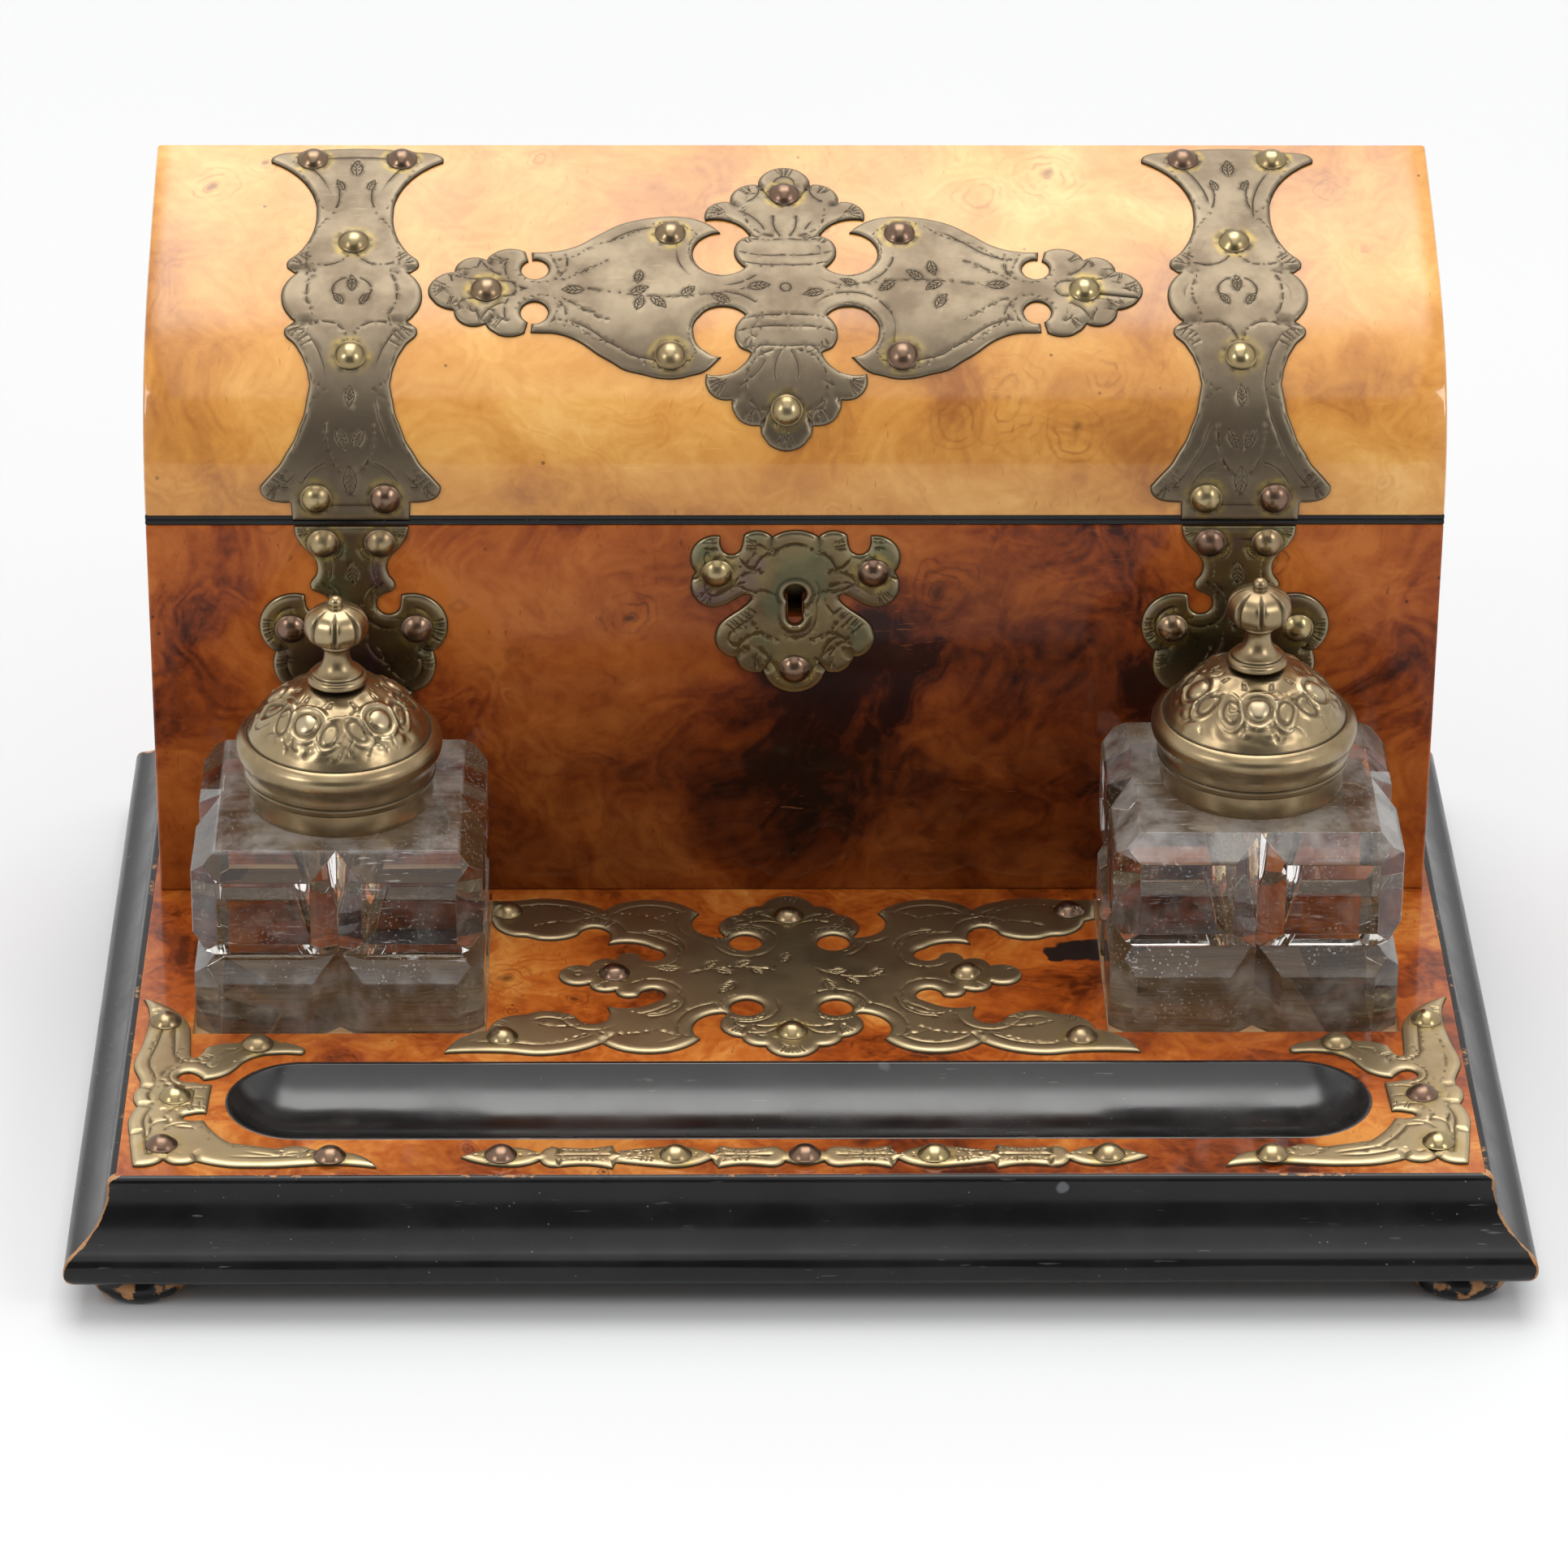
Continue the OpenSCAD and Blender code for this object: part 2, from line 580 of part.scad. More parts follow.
module body_strap(side) {
    color(brass) difference() {
        on_front([side * body_strap_x, body_z]) linear_extrude(plate_t) polygon(two_ways(body_strap_path));
        body_nail_places() nail_hole();
    }
}
module body_strap_left() body_strap(-1);
module body_strap_right() body_strap(1);

module body_nails() color(bright_brass) body_nail_places(plate_t) nail();

divider_t = 2.6;
module dividers() {
    // [distance behind the front board, height above the floor]
    for (d = [[18, 58], [41, 76]])
        color(walnut) box([-half_w + board_t, front_y + board_t + d.x, deck_z + floor_t],
            [half_w - board_t, front_y + board_t + d.x + divider_t, deck_z + floor_t + d.y]);
}

// ---- Lock -----------------------------------------------------------------------------------
staple_x = 11;
staple_t = 1.8;
staple_w = 5.2;
staple_l = 12;
eye_w = 2.6;
eye_h = 3.6;
eye_z = seam_z - 9.6;
staple_gap = 0.4;

module lock_case() {
    color(brass) difference() {
        lock_space();
        box([-lock_w, lock_y - cut, seam_z], [lock_w, lock_y + lock_d + cut, lid_z + cut]);
        box([-lock_w / 2 + lock_wall, lock_y + lock_wall, lock_low + lock_wall],
            [lock_w / 2 - lock_wall, lock_y + lock_d - lock_wall, seam_z - lock_wall]);
        translate([0, lock_y, keyhole_z]) rotate([90, 0, 0]) keyhole(2 * lock_wall + fit);
        for (s = [-1, 1]) translate([s * staple_x, lock_mid_y, seam_z])
            cube([staple_t + 2 * staple_gap, staple_w + 2 * staple_gap, 4 * lock_wall], center = true);
        lock_screw_places() lock_screw_bore();
    }
}

// Screws go forward through the lock case into the front board
module lock_screw_places() {
    for (s = [-1, 1]) translate([s * (lock_w / 2 - 3.2), lock_y + lock_d, lock_low + 3.4])
        rotate([90, 0, 0]) children();
}

module lock_screw_bore() translate([0, 0, -cut]) cylinder(r = lock_screw_r + fit, h = cut + lock_screw_l + fit);

module lock_screws() {
    head_r = lock_screw_r + 1;
    head_h = 0.8;
    color(steel) lock_screw_places() rotate_extrude()
        polygon([[0, -head_h], [head_r, -head_h], [head_r, 0], [lock_screw_r, 0], [lock_screw_r, lock_screw_l],
            [0, lock_screw_l]]);
}

// Bar with two hooks that slide through the staples; the notch takes the key's bit
module lock_bolt() {
    side_gap = 0.3;
    bar_low = keyhole_z - 6.5;
    bar_high = seam_z - staple_l - 0.6;
    bar_d = 4.8;
    hook_d = 2.2;
    hook_h = 3;
    hook_w = 2.4;
    notch_w = 7;
    color(steel) difference() {
        union() {
            box([-lock_w / 2 + lock_wall + side_gap, lock_mid_y - bar_d / 2, bar_low],
                [lock_w / 2 - lock_wall - side_gap - bolt_travel, lock_mid_y + bar_d / 2, bar_high]);
            for (s = [-1, 1]) {
                tip = s * staple_x - staple_t / 2 - 0.5;
                box([tip - bolt_travel - hook_w, lock_mid_y - hook_d / 2, bar_low + cut],
                    [tip - bolt_travel, lock_mid_y + hook_d / 2, eye_z + hook_h / 2]);
                box([tip - bolt_travel - fit, lock_mid_y - hook_d / 2, eye_z - hook_h / 2],
                    [tip, lock_mid_y + hook_d / 2, eye_z + hook_h / 2]);
            }
        }
        box([-notch_w / 2, lock_mid_y - bar_d, bar_low - cut],
            [notch_w / 2, lock_mid_y + bar_d, keyhole_z - 1.5]);
        translate([0, lock_mid_y, keyhole_z]) rotate([90, 0, 0])
            cylinder(r = keyhole_r + 0.8, h = lock_d, center = true);
    }
}

module link_plate() {
    color(brass) difference() {
        union() {
            box([-lock_w / 2, lock_y, seam_z], [lock_w / 2, lock_y + lock_d, lid_z]);
            for (s = [-1, 1])
                box([s * staple_x - staple_t / 2, lock_mid_y - staple_w / 2, seam_z - staple_l],
                    [s * staple_x + staple_t / 2, lock_mid_y + staple_w / 2, seam_z]);
        }
        for (s = [-1, 1])
            box([s * staple_x - staple_t, lock_mid_y - eye_w / 2, eye_z - eye_h / 2],
                [s * staple_x + staple_t, lock_mid_y + eye_w / 2, eye_z + eye_h / 2]);
        link_screw_places() link_screw_bore();
    }
}

module link_screw_places() {
    for (s = [-1, 1]) translate([s * (lock_w / 2 - 4), lock_y + 1.5, seam_z]) children();
}

module link_screw_bore() translate([0, 0, -cut]) cylinder(r = link_screw_r + fit, h = cut + link_screw_l + fit);

module link_screws() {
    color(steel) link_screw_places() cylinder(r = link_screw_r, h = link_screw_l);
}

// ---- Hinges of the casket lid ---------------------------------------------------------------
module hinge_screw_places() {
    for (s = [-1, 1], d = [-1, 1])
        translate([s * hinge_x + d * hinge_l / 3.2, back_y - board_t / 2 + 0.4, seam_z]) children();
}

// up is 1 for the leaf on the lid, which has the middle knuckle, and -1 for the leaf on the body
module hinge_leaf(side, up) {
    third = hinge_l / 3;
    leaf_gap = 0.02;
    low = up > 0 ? seam_z + leaf_gap : body_z;
    high = up > 0 ? lid_z : seam_z - leaf_gap;
    x = side * hinge_x;
    color(brass) difference() {
        union() {
            difference() {
                box([x - hinge_l / 2, back_y - hinge_inset, low], [x + hinge_l / 2, hinge_y, high]);
                for (k = [-1 : 1]) if ((k == 0) != (up > 0))
                    box([x + (k - 0.5) * third - knuckle_gap, hinge_y - knuckle_r - knuckle_room, low - cut],
                        [x + (k + 0.5) * third + knuckle_gap, hinge_y + cut, high + cut]);
            }
            for (k = [-1 : 1]) if ((k == 0) == (up > 0))
                translate([x + (k - 0.5) * third + knuckle_gap, hinge_y, seam_z]) rotate([0, 90, 0])
                    cylinder(r = knuckle_r, h = third - 2 * knuckle_gap);
        }
        translate([x, hinge_y, seam_z]) rotate([0, 90, 0])
            cylinder(r = hinge_pin_r + 0.05, h = hinge_l + cut, center = true);
        hinge_screw_places() cylinder(r = hinge_screw_r + fit, h = 4 * edging_t, center = true);
    }
}
module hinge_body_leaf_left() hinge_leaf(-1, -1);
module hinge_body_leaf_right() hinge_leaf(1, -1);
module hinge_lid_leaf_left() hinge_leaf(-1, 1);
module hinge_lid_leaf_right() hinge_leaf(1, 1);

module hinge_pins() {
    color(steel) for (s = [-1, 1]) translate([s * hinge_x, hinge_y, seam_z]) rotate([0, 90, 0])
        cylinder(r = hinge_pin_r, h = hinge_l, center = true);
}

module hinge_body_screws() {
    color(steel) hinge_screw_places() translate([0, 0, -hinge_screw_l])
        cylinder(r = hinge_screw_r, h = hinge_screw_l - fit);
}

module hinge_lid_screws() {
    color(steel) hinge_screw_places() translate([0, 0, fit])
        cylinder(r = hinge_screw_r, h = hinge_screw_l - fit);
}

// ---- Casket lid -----------------------------------------------------------------------------
module lid_shell() {
    color(walnut) difference() {
        across(concat(lid_curve, [for (i = [len(lid_inner) - 1 : -1 : 0]) lid_inner[i]]), -half_w, half_w);
        lid_nail_places() nail_hole();
        link_screw_places() link_screw_bore();
    }
}

module lid_section(y0, y1) {
    intersection() {
        polygon(concat([[lid_inner[0].x, lid_z]], lid_inner, [[lid_end.x, lid_z]]));
        translate([y0, lid_z]) square([y1 - y0, lid_end.y]);
    }
}

module lid_end_board(side) {
    color(walnut) translate([side > 0 ? half_w - board_t : -half_w, 0, 0]) rotate([90, 0, 90])
        linear_extrude(board_t) lid_section(lid_inner[0].x, rear_inner);
}
module lid_end_left() lid_end_board(-1);
module lid_end_right() lid_end_board(1);

module lid_back() {
    color(walnut) difference() {
        translate([-half_w, 0, 0]) rotate([90, 0, 90]) linear_extrude(casket_w) lid_section(rear_inner, back_y);
        hinge_space();
        hinge_screw_places() cylinder(r = hinge_screw_r + fit, h = 2 * hinge_screw_l + 1, center = true);
    }
}

module lid_edging() {
    color(ebony) difference() {
        edging(seam_z, lid_z);
        lock_space();
        hinge_space();
    }
}

// A plate bent over the lid: its outline, [across, along the curve], is pressed onto the curve
// in the direction that leans back by lean from level, and fills a layer plate_t thick
module lid_plate(outline, at, lean) {
    flat = [for (p = outline) let (q = on_lid(at.y + p.y))
        [at.x + p.x, q.x * sin(lean) + q.y * cos(lean)]];
    outer = lid_offset(plate_t);
    drop = [0, -2.3];
    layer = concat([lid_curve[0] + drop], lid_curve, [for (i = [len(outer) - 1 : -1 : 0]) outer[i]],
        [outer[0] + drop]);
    intersection() {
        across(layer, -half_w, half_w);
        rotate([90 - lean, 0, 0]) linear_extrude(2 * lid_end.y) polygon(flat);
    }
}

module lid_strap(side) {
    color(brass) difference() {
        lid_plate(two_ways(lid_strap_path), [side * body_strap_x, 0], 52);
        lid_nail_places() nail_hole();
    }
}
module lid_strap_left() lid_strap(-1);
module lid_strap_right() lid_strap(1);

module lid_cartouche() {
    color(brass) difference() {
        lid_plate(four_ways(lid_cartouche_path), lid_cartouche_at, 64);
        lid_nail_places() nail_hole();
    }
}

module lid_nails() color(bright_brass) lid_nail_places(plate_t) nail();

// ---- Inkwells -------------------------------------------------------------------------------
groove = 5.7;
edge_cut = 6;
groove_half = 5.9;
neck_r = 18.4;
neck_h = 5;
collar_h = 7.6;
ink_hinge = 24.6;
ink_knuckle_r = 1.7;
ink_pin_r = 0.7;
ink_knuckle_l = 3.4;

function glass_h(side) = side < 0 ? glass_left_h : glass_right_h;
function ink_seam(side) = board_z + glass_h(side) + collar_h;

// Local origin at the middle of the glass, z = 0 at z
module at_ink(side, z) {
    translate([side * ink_x, ink_y, z]) children();
}

// Half of a side view of the glass, [out from the middle, height]
function glass_side(w, h) = [[w, 0], [w, 0.315 * h], [w - 5, 0.425 * h], [w, 0.54 * h],
    [w, h - 5.5], [w - groove, h]];

module ink_glass(side) {
    w = glass_w / 2;
    d = glass_d / 2;
    h = glass_h(side);
    // Quarter of the plan, from the groove on the right round to the groove at the rear
    plan = [[w - groove, 0], [w, groove_half], [w, d - edge_cut], [w - edge_cut, d], [groove_half, d],
        [0, d - groove]];
    fx = glass_side(w, h);
    fy = glass_side(d, h);
    well_low = 0.3 * h;
    color(clear_glass) at_ink(side, board_z) difference() {
        union() {
            intersection() {
                linear_extrude(h) polygon(four_ways(plan));
                rotate([90, 0, 0]) linear_extrude(glass_d + cut, center = true)
                    polygon(concat(fx, [for (i = [len(fx) - 1 : -1 : 0]) [-fx[i].x, fx[i].y]]));
                rotate([90, 0, 90]) linear_extrude(glass_w + cut, center = true)
                    polygon(concat(fy, [for (i = [len(fy) - 1 : -1 : 0]) [-fy[i].x, fy[i].y]]));
            }
            translate([0, 0, h - cut]) cylinder(r = neck_r, h = neck_h + cut);
        }
        rotate_extrude() polygon(trace([[0, well_low, 0.3], [well_r - 4.6, well_low + 4.5, 0.08],
            [well_r, h - 6, 0], [well_r, h + neck_h + cut, 0], [0, h + neck_h + cut, 0]], 10));
    }
}

// Knuckles of the inkwell's hinge; middle is true for the one on the lid
module ink_knuckles(middle) {
    for (k = [-1 : 1]) if ((k == 0) == middle)
        translate([k * ink_knuckle_l, 0, 0]) {
            rotate([0, 90, 0]) translate([0, ink_hinge, 0])
                cylinder(r = ink_knuckle_r, h = ink_knuckle_l - 0.3, center = true);
            box([-ink_knuckle_l / 2 + 0.15, 21.2, middle ? 0.1 : -ink_knuckle_r],
                [ink_knuckle_l / 2 - 0.15, ink_hinge, middle ? ink_knuckle_r : -0.1]);
        }
}

module ink_pin_bore() {
    translate([0, ink_hinge, 0]) rotate([0, 90, 0])
        cylinder(r = ink_pin_r + 0.05, h = 4 * ink_knuckle_l, center = true);
}

module ink_collar(side) {
    color(brass) at_ink(side, ink_seam(side)) difference() {
        union() {
            rotate_extrude() polygon(trace([[neck_r + fit, -collar_h, 0], [21.3, -collar_h, 0],
                [21.5, -collar_h + 1.2, 0], [21.6, -2.2, 0.2], [22.2, -1, 0.2], [22.2, 0, 0],
                [17.2, 0, 0], [17.2, -2, 0], [neck_r + fit, -2.4, 0], [neck_r + fit, -collar_h, 0]], 20));
            ink_knuckles(false);
        }
        ink_pin_bore();
    }
}

ring_h = 9.4;
module ink_lid_ring(side) {
    color(brass) at_ink(side, ink_seam(side)) difference() {
        union() {
            rotate_extrude() polygon(trace([[20.4, 0, 0], [22.3, 0, 0], [22.4, 1.6, -0.15], [23.6, 4.8, 0.1],
                [23.9, 6.4, 0.25], [23, 8.6, 0.15], [21.4, ring_h, 0], [20.2, ring_h, -0.15], [22, 6.6, -0.2],
                [20.6, 3, 0], [20.4, 0, 0]], 20));
            ink_knuckles(true);
        }
        ink_pin_bore();
    }
}

dome_h = 22.4;
dome_foot = 6;
module ink_dome(side) {
    // Cap of a sphere 1.2 thick, open at the top for the knob's spigot
    rise = dome_h - ring_h;
    outer_r = (21.2 * 21.2 + rise * rise) / (2 * rise);
    top_a = asin(2.5 / outer_r);
    low_a = asin(21.2 / outer_r);
    shell = 1.2;
    function cap(r) = [for (k = [0 : 9]) let (a = top_a + (low_a - top_a) * k / 9)
        [r * sin(a), dome_h - outer_r + r * cos(a)]];
    inner = cap(outer_r - shell);
    color(bright_brass) at_ink(side, ink_seam(side)) rotate_extrude()
        polygon(concat(cap(outer_r), [for (i = [9 : -1 : 0]) [max(inner[i].x, 2.5), max(inner[i].y, ring_h)]]));
}

module ink_knob(side) {
    color(bright_brass) at_ink(side, ink_seam(side) + dome_h) rotate_extrude()
        polygon(trace([[0, -3, 0], [2.4, -3, 0], [2.4, 0, 0], [6.9, 0, 0.6], [6.6, 1.8, -0.1], [5.4, 2.4, -0.3],
            [3, 6.6, -0.15], [3.6, 9, 0.1], [5.6, 10.2, 0.35], [7.5, 14.6, 0.3], [4.6, 18.4, 0.12],
            [1.7, 19.2, -0.2], [1.6, 19.8, 0.5], [0, 21.6, 0]], 16));
}

module ink_hinge_pin(side) {
    color(steel) at_ink(side, ink_seam(side)) translate([0, ink_hinge, 0]) rotate([0, 90, 0])
        cylinder(r = ink_pin_r, h = 3 * ink_knuckle_l - 0.3, center = true);
}

module ink_glass_left() ink_glass(-1);
module ink_glass_right() ink_glass(1);
module ink_collar_left() ink_collar(-1);
module ink_collar_right() ink_collar(1);
module ink_lid_ring_left() ink_lid_ring(-1);
module ink_lid_ring_right() ink_lid_ring(1);
module ink_dome_left() ink_dome(-1);
module ink_dome_right() ink_dome(1);
module ink_knob_left() ink_knob(-1);
module ink_knob_right() ink_knob(1);
module ink_hinge_pin_left() ink_hinge_pin(-1);
module ink_hinge_pin_right() ink_hinge_pin(1);

base_board();
deck_board();
pen_tray();
moulding_front();
moulding_back();
moulding_left();
moulding_right();
bun_feet();
foot_screws();
deck_cartouche();
corner_mount_left();
corner_mount_right();
front_strip();
deck_nails();
casket_front();
casket_left();
casket_right();
casket_back();
casket_floor();
casket_edging();
casket_screws();
escutcheon();
body_strap_left();
body_strap_right();
body_nails();
dividers();
lock_case();
lock_screws();
lock_bolt();
link_plate();
link_screws();
hinge_body_leaf_left();
hinge_body_leaf_right();
hinge_body_screws();
hinge_pins();
hinge_lid_leaf_left();
hinge_lid_leaf_right();
hinge_lid_screws();
lid_shell();
lid_end_left();
lid_end_right();
lid_back();
lid_edging();
lid_strap_left();
lid_strap_right();
lid_cartouche();
lid_nails();
ink_glass_left();
ink_glass_right();
ink_collar_left();
ink_collar_right();
ink_lid_ring_left();
ink_lid_ring_right();
ink_dome_left();
ink_dome_right();
ink_knob_left();
ink_knob_right();
ink_hinge_pin_left();
ink_hinge_pin_right();
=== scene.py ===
"""Looks of the brass-mounted walnut desk stand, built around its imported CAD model.

Sizes in this file are millimetres, in the model's frame: +X right, +Y to the rear, +Z up, origin
on the table under the middle of the base. make() turns them into metres.
"""

import json
import math
import random

import bmesh
import bpy
import numpy as np
from mathutils import Matrix, Vector, geometry, kdtree, noise


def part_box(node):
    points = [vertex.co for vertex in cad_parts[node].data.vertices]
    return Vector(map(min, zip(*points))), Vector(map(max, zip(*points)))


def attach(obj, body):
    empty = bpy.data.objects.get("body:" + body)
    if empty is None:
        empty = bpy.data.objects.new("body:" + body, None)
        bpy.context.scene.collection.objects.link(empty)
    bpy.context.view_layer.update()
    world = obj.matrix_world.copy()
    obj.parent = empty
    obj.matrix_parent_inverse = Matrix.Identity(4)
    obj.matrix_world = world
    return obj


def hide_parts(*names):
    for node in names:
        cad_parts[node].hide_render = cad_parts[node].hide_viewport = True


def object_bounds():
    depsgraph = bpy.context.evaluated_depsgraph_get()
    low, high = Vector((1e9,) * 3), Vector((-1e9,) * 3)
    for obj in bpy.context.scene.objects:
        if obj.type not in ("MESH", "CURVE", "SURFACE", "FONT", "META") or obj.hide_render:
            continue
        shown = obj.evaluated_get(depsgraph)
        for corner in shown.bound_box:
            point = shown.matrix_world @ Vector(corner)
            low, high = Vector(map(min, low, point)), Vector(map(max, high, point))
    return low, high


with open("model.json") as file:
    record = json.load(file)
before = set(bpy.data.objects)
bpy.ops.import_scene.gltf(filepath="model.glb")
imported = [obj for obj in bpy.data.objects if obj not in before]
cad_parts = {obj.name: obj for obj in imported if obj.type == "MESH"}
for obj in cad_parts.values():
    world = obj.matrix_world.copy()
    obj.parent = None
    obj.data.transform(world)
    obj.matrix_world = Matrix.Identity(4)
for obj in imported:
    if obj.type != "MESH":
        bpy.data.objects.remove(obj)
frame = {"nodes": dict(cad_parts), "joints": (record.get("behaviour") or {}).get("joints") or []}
cad_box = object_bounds()
NODES = frame["nodes"]
MM = 0.001


def box_mm(node):
    low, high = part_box(node)
    return np.array(low) / MM, np.array(high) / MM


# ---- Driving sizes, read from the frame ---------------------------------------------------------
deck_high = box_mm("deck_board")[1]
DECK_W, DECK_D, DECK_Z = deck_high[0] * 2, deck_high[1] * 2, deck_high[2]
BASE_HIGH = box_mm("moulding_front")[1][0]
MOULD_W = BASE_HIGH - DECK_W / 2
FOOT_H = box_mm("moulding_front")[0][2]
front_low, front_high = box_mm("casket_front")
CASKET_W, FRONT_Y = front_high[0] * 2, front_low[1]
BACK_Y = box_mm("casket_back")[1][1]
LID_Z = box_mm("lid_shell")[0][2]
PLATE_T = 1.0
LID_T = 6.0


# ---- Meshes -------------------------------------------------------------------------------------
def make(name, verts, faces, body, material, replaces=(), attributes=None, smooth=35):
    """A piece from points in mm. Edges sharper than smooth degrees stay crisp."""
    mesh = bpy.data.meshes.new(name)
    points = np.asarray(verts, float) * MM
    mesh.from_pydata([tuple(p) for p in points.tolist()], [], [tuple(int(i) for i in f) for f in faces])
    for key, values in (attributes or {}).items():
        mesh.attributes.new(key, "FLOAT", "POINT").data.foreach_set("value", np.asarray(values, np.float32))
    return place(name, mesh, body, material, replaces, smooth)


def place(name, mesh, body, material, replaces=(), smooth=35):
    """A piece from a mesh in metres, which is held inside the CAD model's box"""
    mesh.validate()
    co = np.empty(len(mesh.vertices) * 3, np.float32)
    mesh.vertices.foreach_get("co", co)
    held = np.clip(co.reshape(-1, 3), np.array(cad_box[0]), np.array(cad_box[1]))
    mesh.vertices.foreach_set("co", held.astype(np.float32).ravel())
    mesh.shade_smooth()
    mesh.set_sharp_from_angle(angle=math.radians(smooth))
    obj = bpy.data.objects.new(name, mesh)
    bpy.context.scene.collection.objects.link(obj)
    mesh.materials.append(material)
    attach(obj, body)
    if replaces:
        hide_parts(*replaces)
    return obj


def softened(node, body, material, width=0.4, least=3.0, segments=2, smooth=35):
    """The CAD node's own shape with its long arrises eased by width mm."""
    bm = bmesh.new()
    bm.from_mesh(NODES[node].data)
    bmesh.ops.remove_doubles(bm, verts=bm.verts, dist=2e-6)
    bmesh.ops.dissolve_limit(bm, angle_limit=math.radians(0.6), verts=bm.verts, edges=bm.edges)
    edges = [e for e in bm.edges if len(e.link_faces) == 2 and e.calc_length() > least * MM
        and e.calc_face_angle() > math.radians(24)]
    bmesh.ops.bevel(bm, geom=edges, offset=width * MM, segments=segments, profile=0.6, affect="EDGES",
        clamp_overlap=False)
    mesh = bpy.data.meshes.new(node + "_eased")
    bm.to_mesh(mesh)
    bm.free()
    obj = place(node + "_eased", mesh, body, material, [node], smooth)
    obj.modifiers.new("even_shading", "WEIGHTED_NORMAL").keep_sharp = True
    return obj


def trace(corners, step=6):
    """Points along corners [a, b, bend], as in the CAD: bend is the tangent of a quarter of the arc."""
    out = []
    for (ax, ay, bend), (bx, by, _) in zip(corners, corners[1:]):
        p, q = np.array([ax, ay]), np.array([bx, by])
        half = 2 * math.atan(bend)
        n = max(1, math.ceil(abs(math.degrees(2 * half)) / step))
        for k in range(n):
            t, d = k / n - 0.5, q - p
            if bend == 0:
                out.append((p + q) / 2 + d * t)
            else:
                a = 2 * half * t
                side = np.array([d[1], -d[0]])
                out.append((p + q) / 2 + d * math.sin(a) / math.sin(half) / 2 + side
                    * (math.cos(a) - math.cos(half)) / math.sin(half) / 2)
    return np.array(out + [np.array(corners[-1][:2], float)])


def lathe(profile, count=96, shape=None):
    """Points and faces of a closed profile [radius, height] turned about Z. shape(r, z, a) bends it."""
    n = len(profile)
    points, faces = [], []
    for k in range(count):
        a = 2 * math.pi * k / count
        for r, z in profile:
            if shape:
                r, z = shape(r, z, a)
            points.append((r * math.cos(a), r * math.sin(a), z))
    for k in range(count):
        j = (k + 1) % count
        for i in range(n - 1):
            faces.append((k * n + i, j * n + i, j * n + i + 1, k * n + i + 1))
    return np.array(points), faces


def solid(name, points, faces, values, weld, outward, extra=None):
    """A mesh from points in mm, with vertex values; coincident corners of a face count once"""
    bm = bmesh.new()
    layers = [bm.verts.layers.float.new(key) for key in values]
    made = []
    for p, *own in zip(points, *values.values()):
        v = bm.verts.new(np.array(p) * MM)
        for layer, value in zip(layers, own):
            v[layer] = value
        made.append(v)
    for f in faces:
        ring = []
        for i in f:
            if all((made[i].co - r.co).length > 1e-7 for r in ring):
                ring.append(made[i])
        if len(ring) > 2:
            bm.faces.new(ring)
    if weld:
        bmesh.ops.remove_doubles(bm, verts=bm.verts, dist=1e-6)
    if extra:
        extra(bm)
    if outward:
        bmesh.ops.recalc_face_normals(bm, faces=bm.faces)
    mesh = bpy.data.meshes.new(name)
    bm.to_mesh(mesh)
    bm.free()
    return mesh


def turned(name, profile, at, body, material, node, count, attribute, shape=None, smooth=35, extra=None):
    """A turned piece in place of a node. attribute is (name, function of the point before it is moved)."""
    points, faces = lathe(profile, count, shape)
    values = {attribute[0]: [attribute[1](p) for p in points]}
    place(name, solid(name, points + at, faces, values, True, True, extra), body, material, [node],
        smooth)


def islands(node):
    """Middle points, in mm, of the separate solids of a CAD node."""
    bm = bmesh.new()
    bm.from_mesh(NODES[node].data)
    bmesh.ops.remove_doubles(bm, verts=bm.verts, dist=2e-6)
    seen, out = set(), []
    for v in bm.verts:
        if v in seen:
            continue
        stack, group = [v], []
        seen.add(v)
        while stack:
            u = stack.pop()
            group.append(u.co)
            for e in u.link_edges:
                w = e.other_vert(u)
                if w not in seen:
                    seen.add(w)
                    stack.append(w)
        co = np.array(group) / MM
        out.append((co.min(0) + co.max(0)) / 2)
    bm.free()
    return out


# ---- Materials ----------------------------------------------------------------------------------
class Nodes:
    """Short calls for making nodes in a tree"""

    def __init__(self, tree):
        self.tree = tree

    def feed(self, socket, value):
        if isinstance(value, bpy.types.NodeSocket):
            self.tree.links.new(value, socket)
        else:
            socket.default_value = value

    def math(self, op, a, b=0.0):
        n = self.tree.nodes.new("ShaderNodeMath")
        n.operation = op
        self.feed(n.inputs[0], a)
        self.feed(n.inputs[1], b)
        return n.outputs[0]

    def plus(self, a, b):
        return self.math("ADD", a, b)

    def minus(self, a, b):
        return self.math("SUBTRACT", a, b)

    def mul(self, a, b):
        return self.math("MULTIPLY", a, b)

    def most(self, a, b):
        return self.math("MAXIMUM", a, b)

    def span(self, value, a, b, lo=0.0, hi=1.0):
        """value from a to b, as a smooth step from lo to hi"""
        n = self.tree.nodes.new("ShaderNodeMapRange")
        n.interpolation_type = "SMOOTHSTEP"
        for socket, v in zip(n.inputs[:5], (value, a, b, lo, hi)):
            self.feed(socket, v)
        return n.outputs[0]

    def split(self, vec):
        n = self.tree.nodes.new("ShaderNodeSeparateXYZ")
        self.feed(n.inputs[0], vec)
        return n.outputs


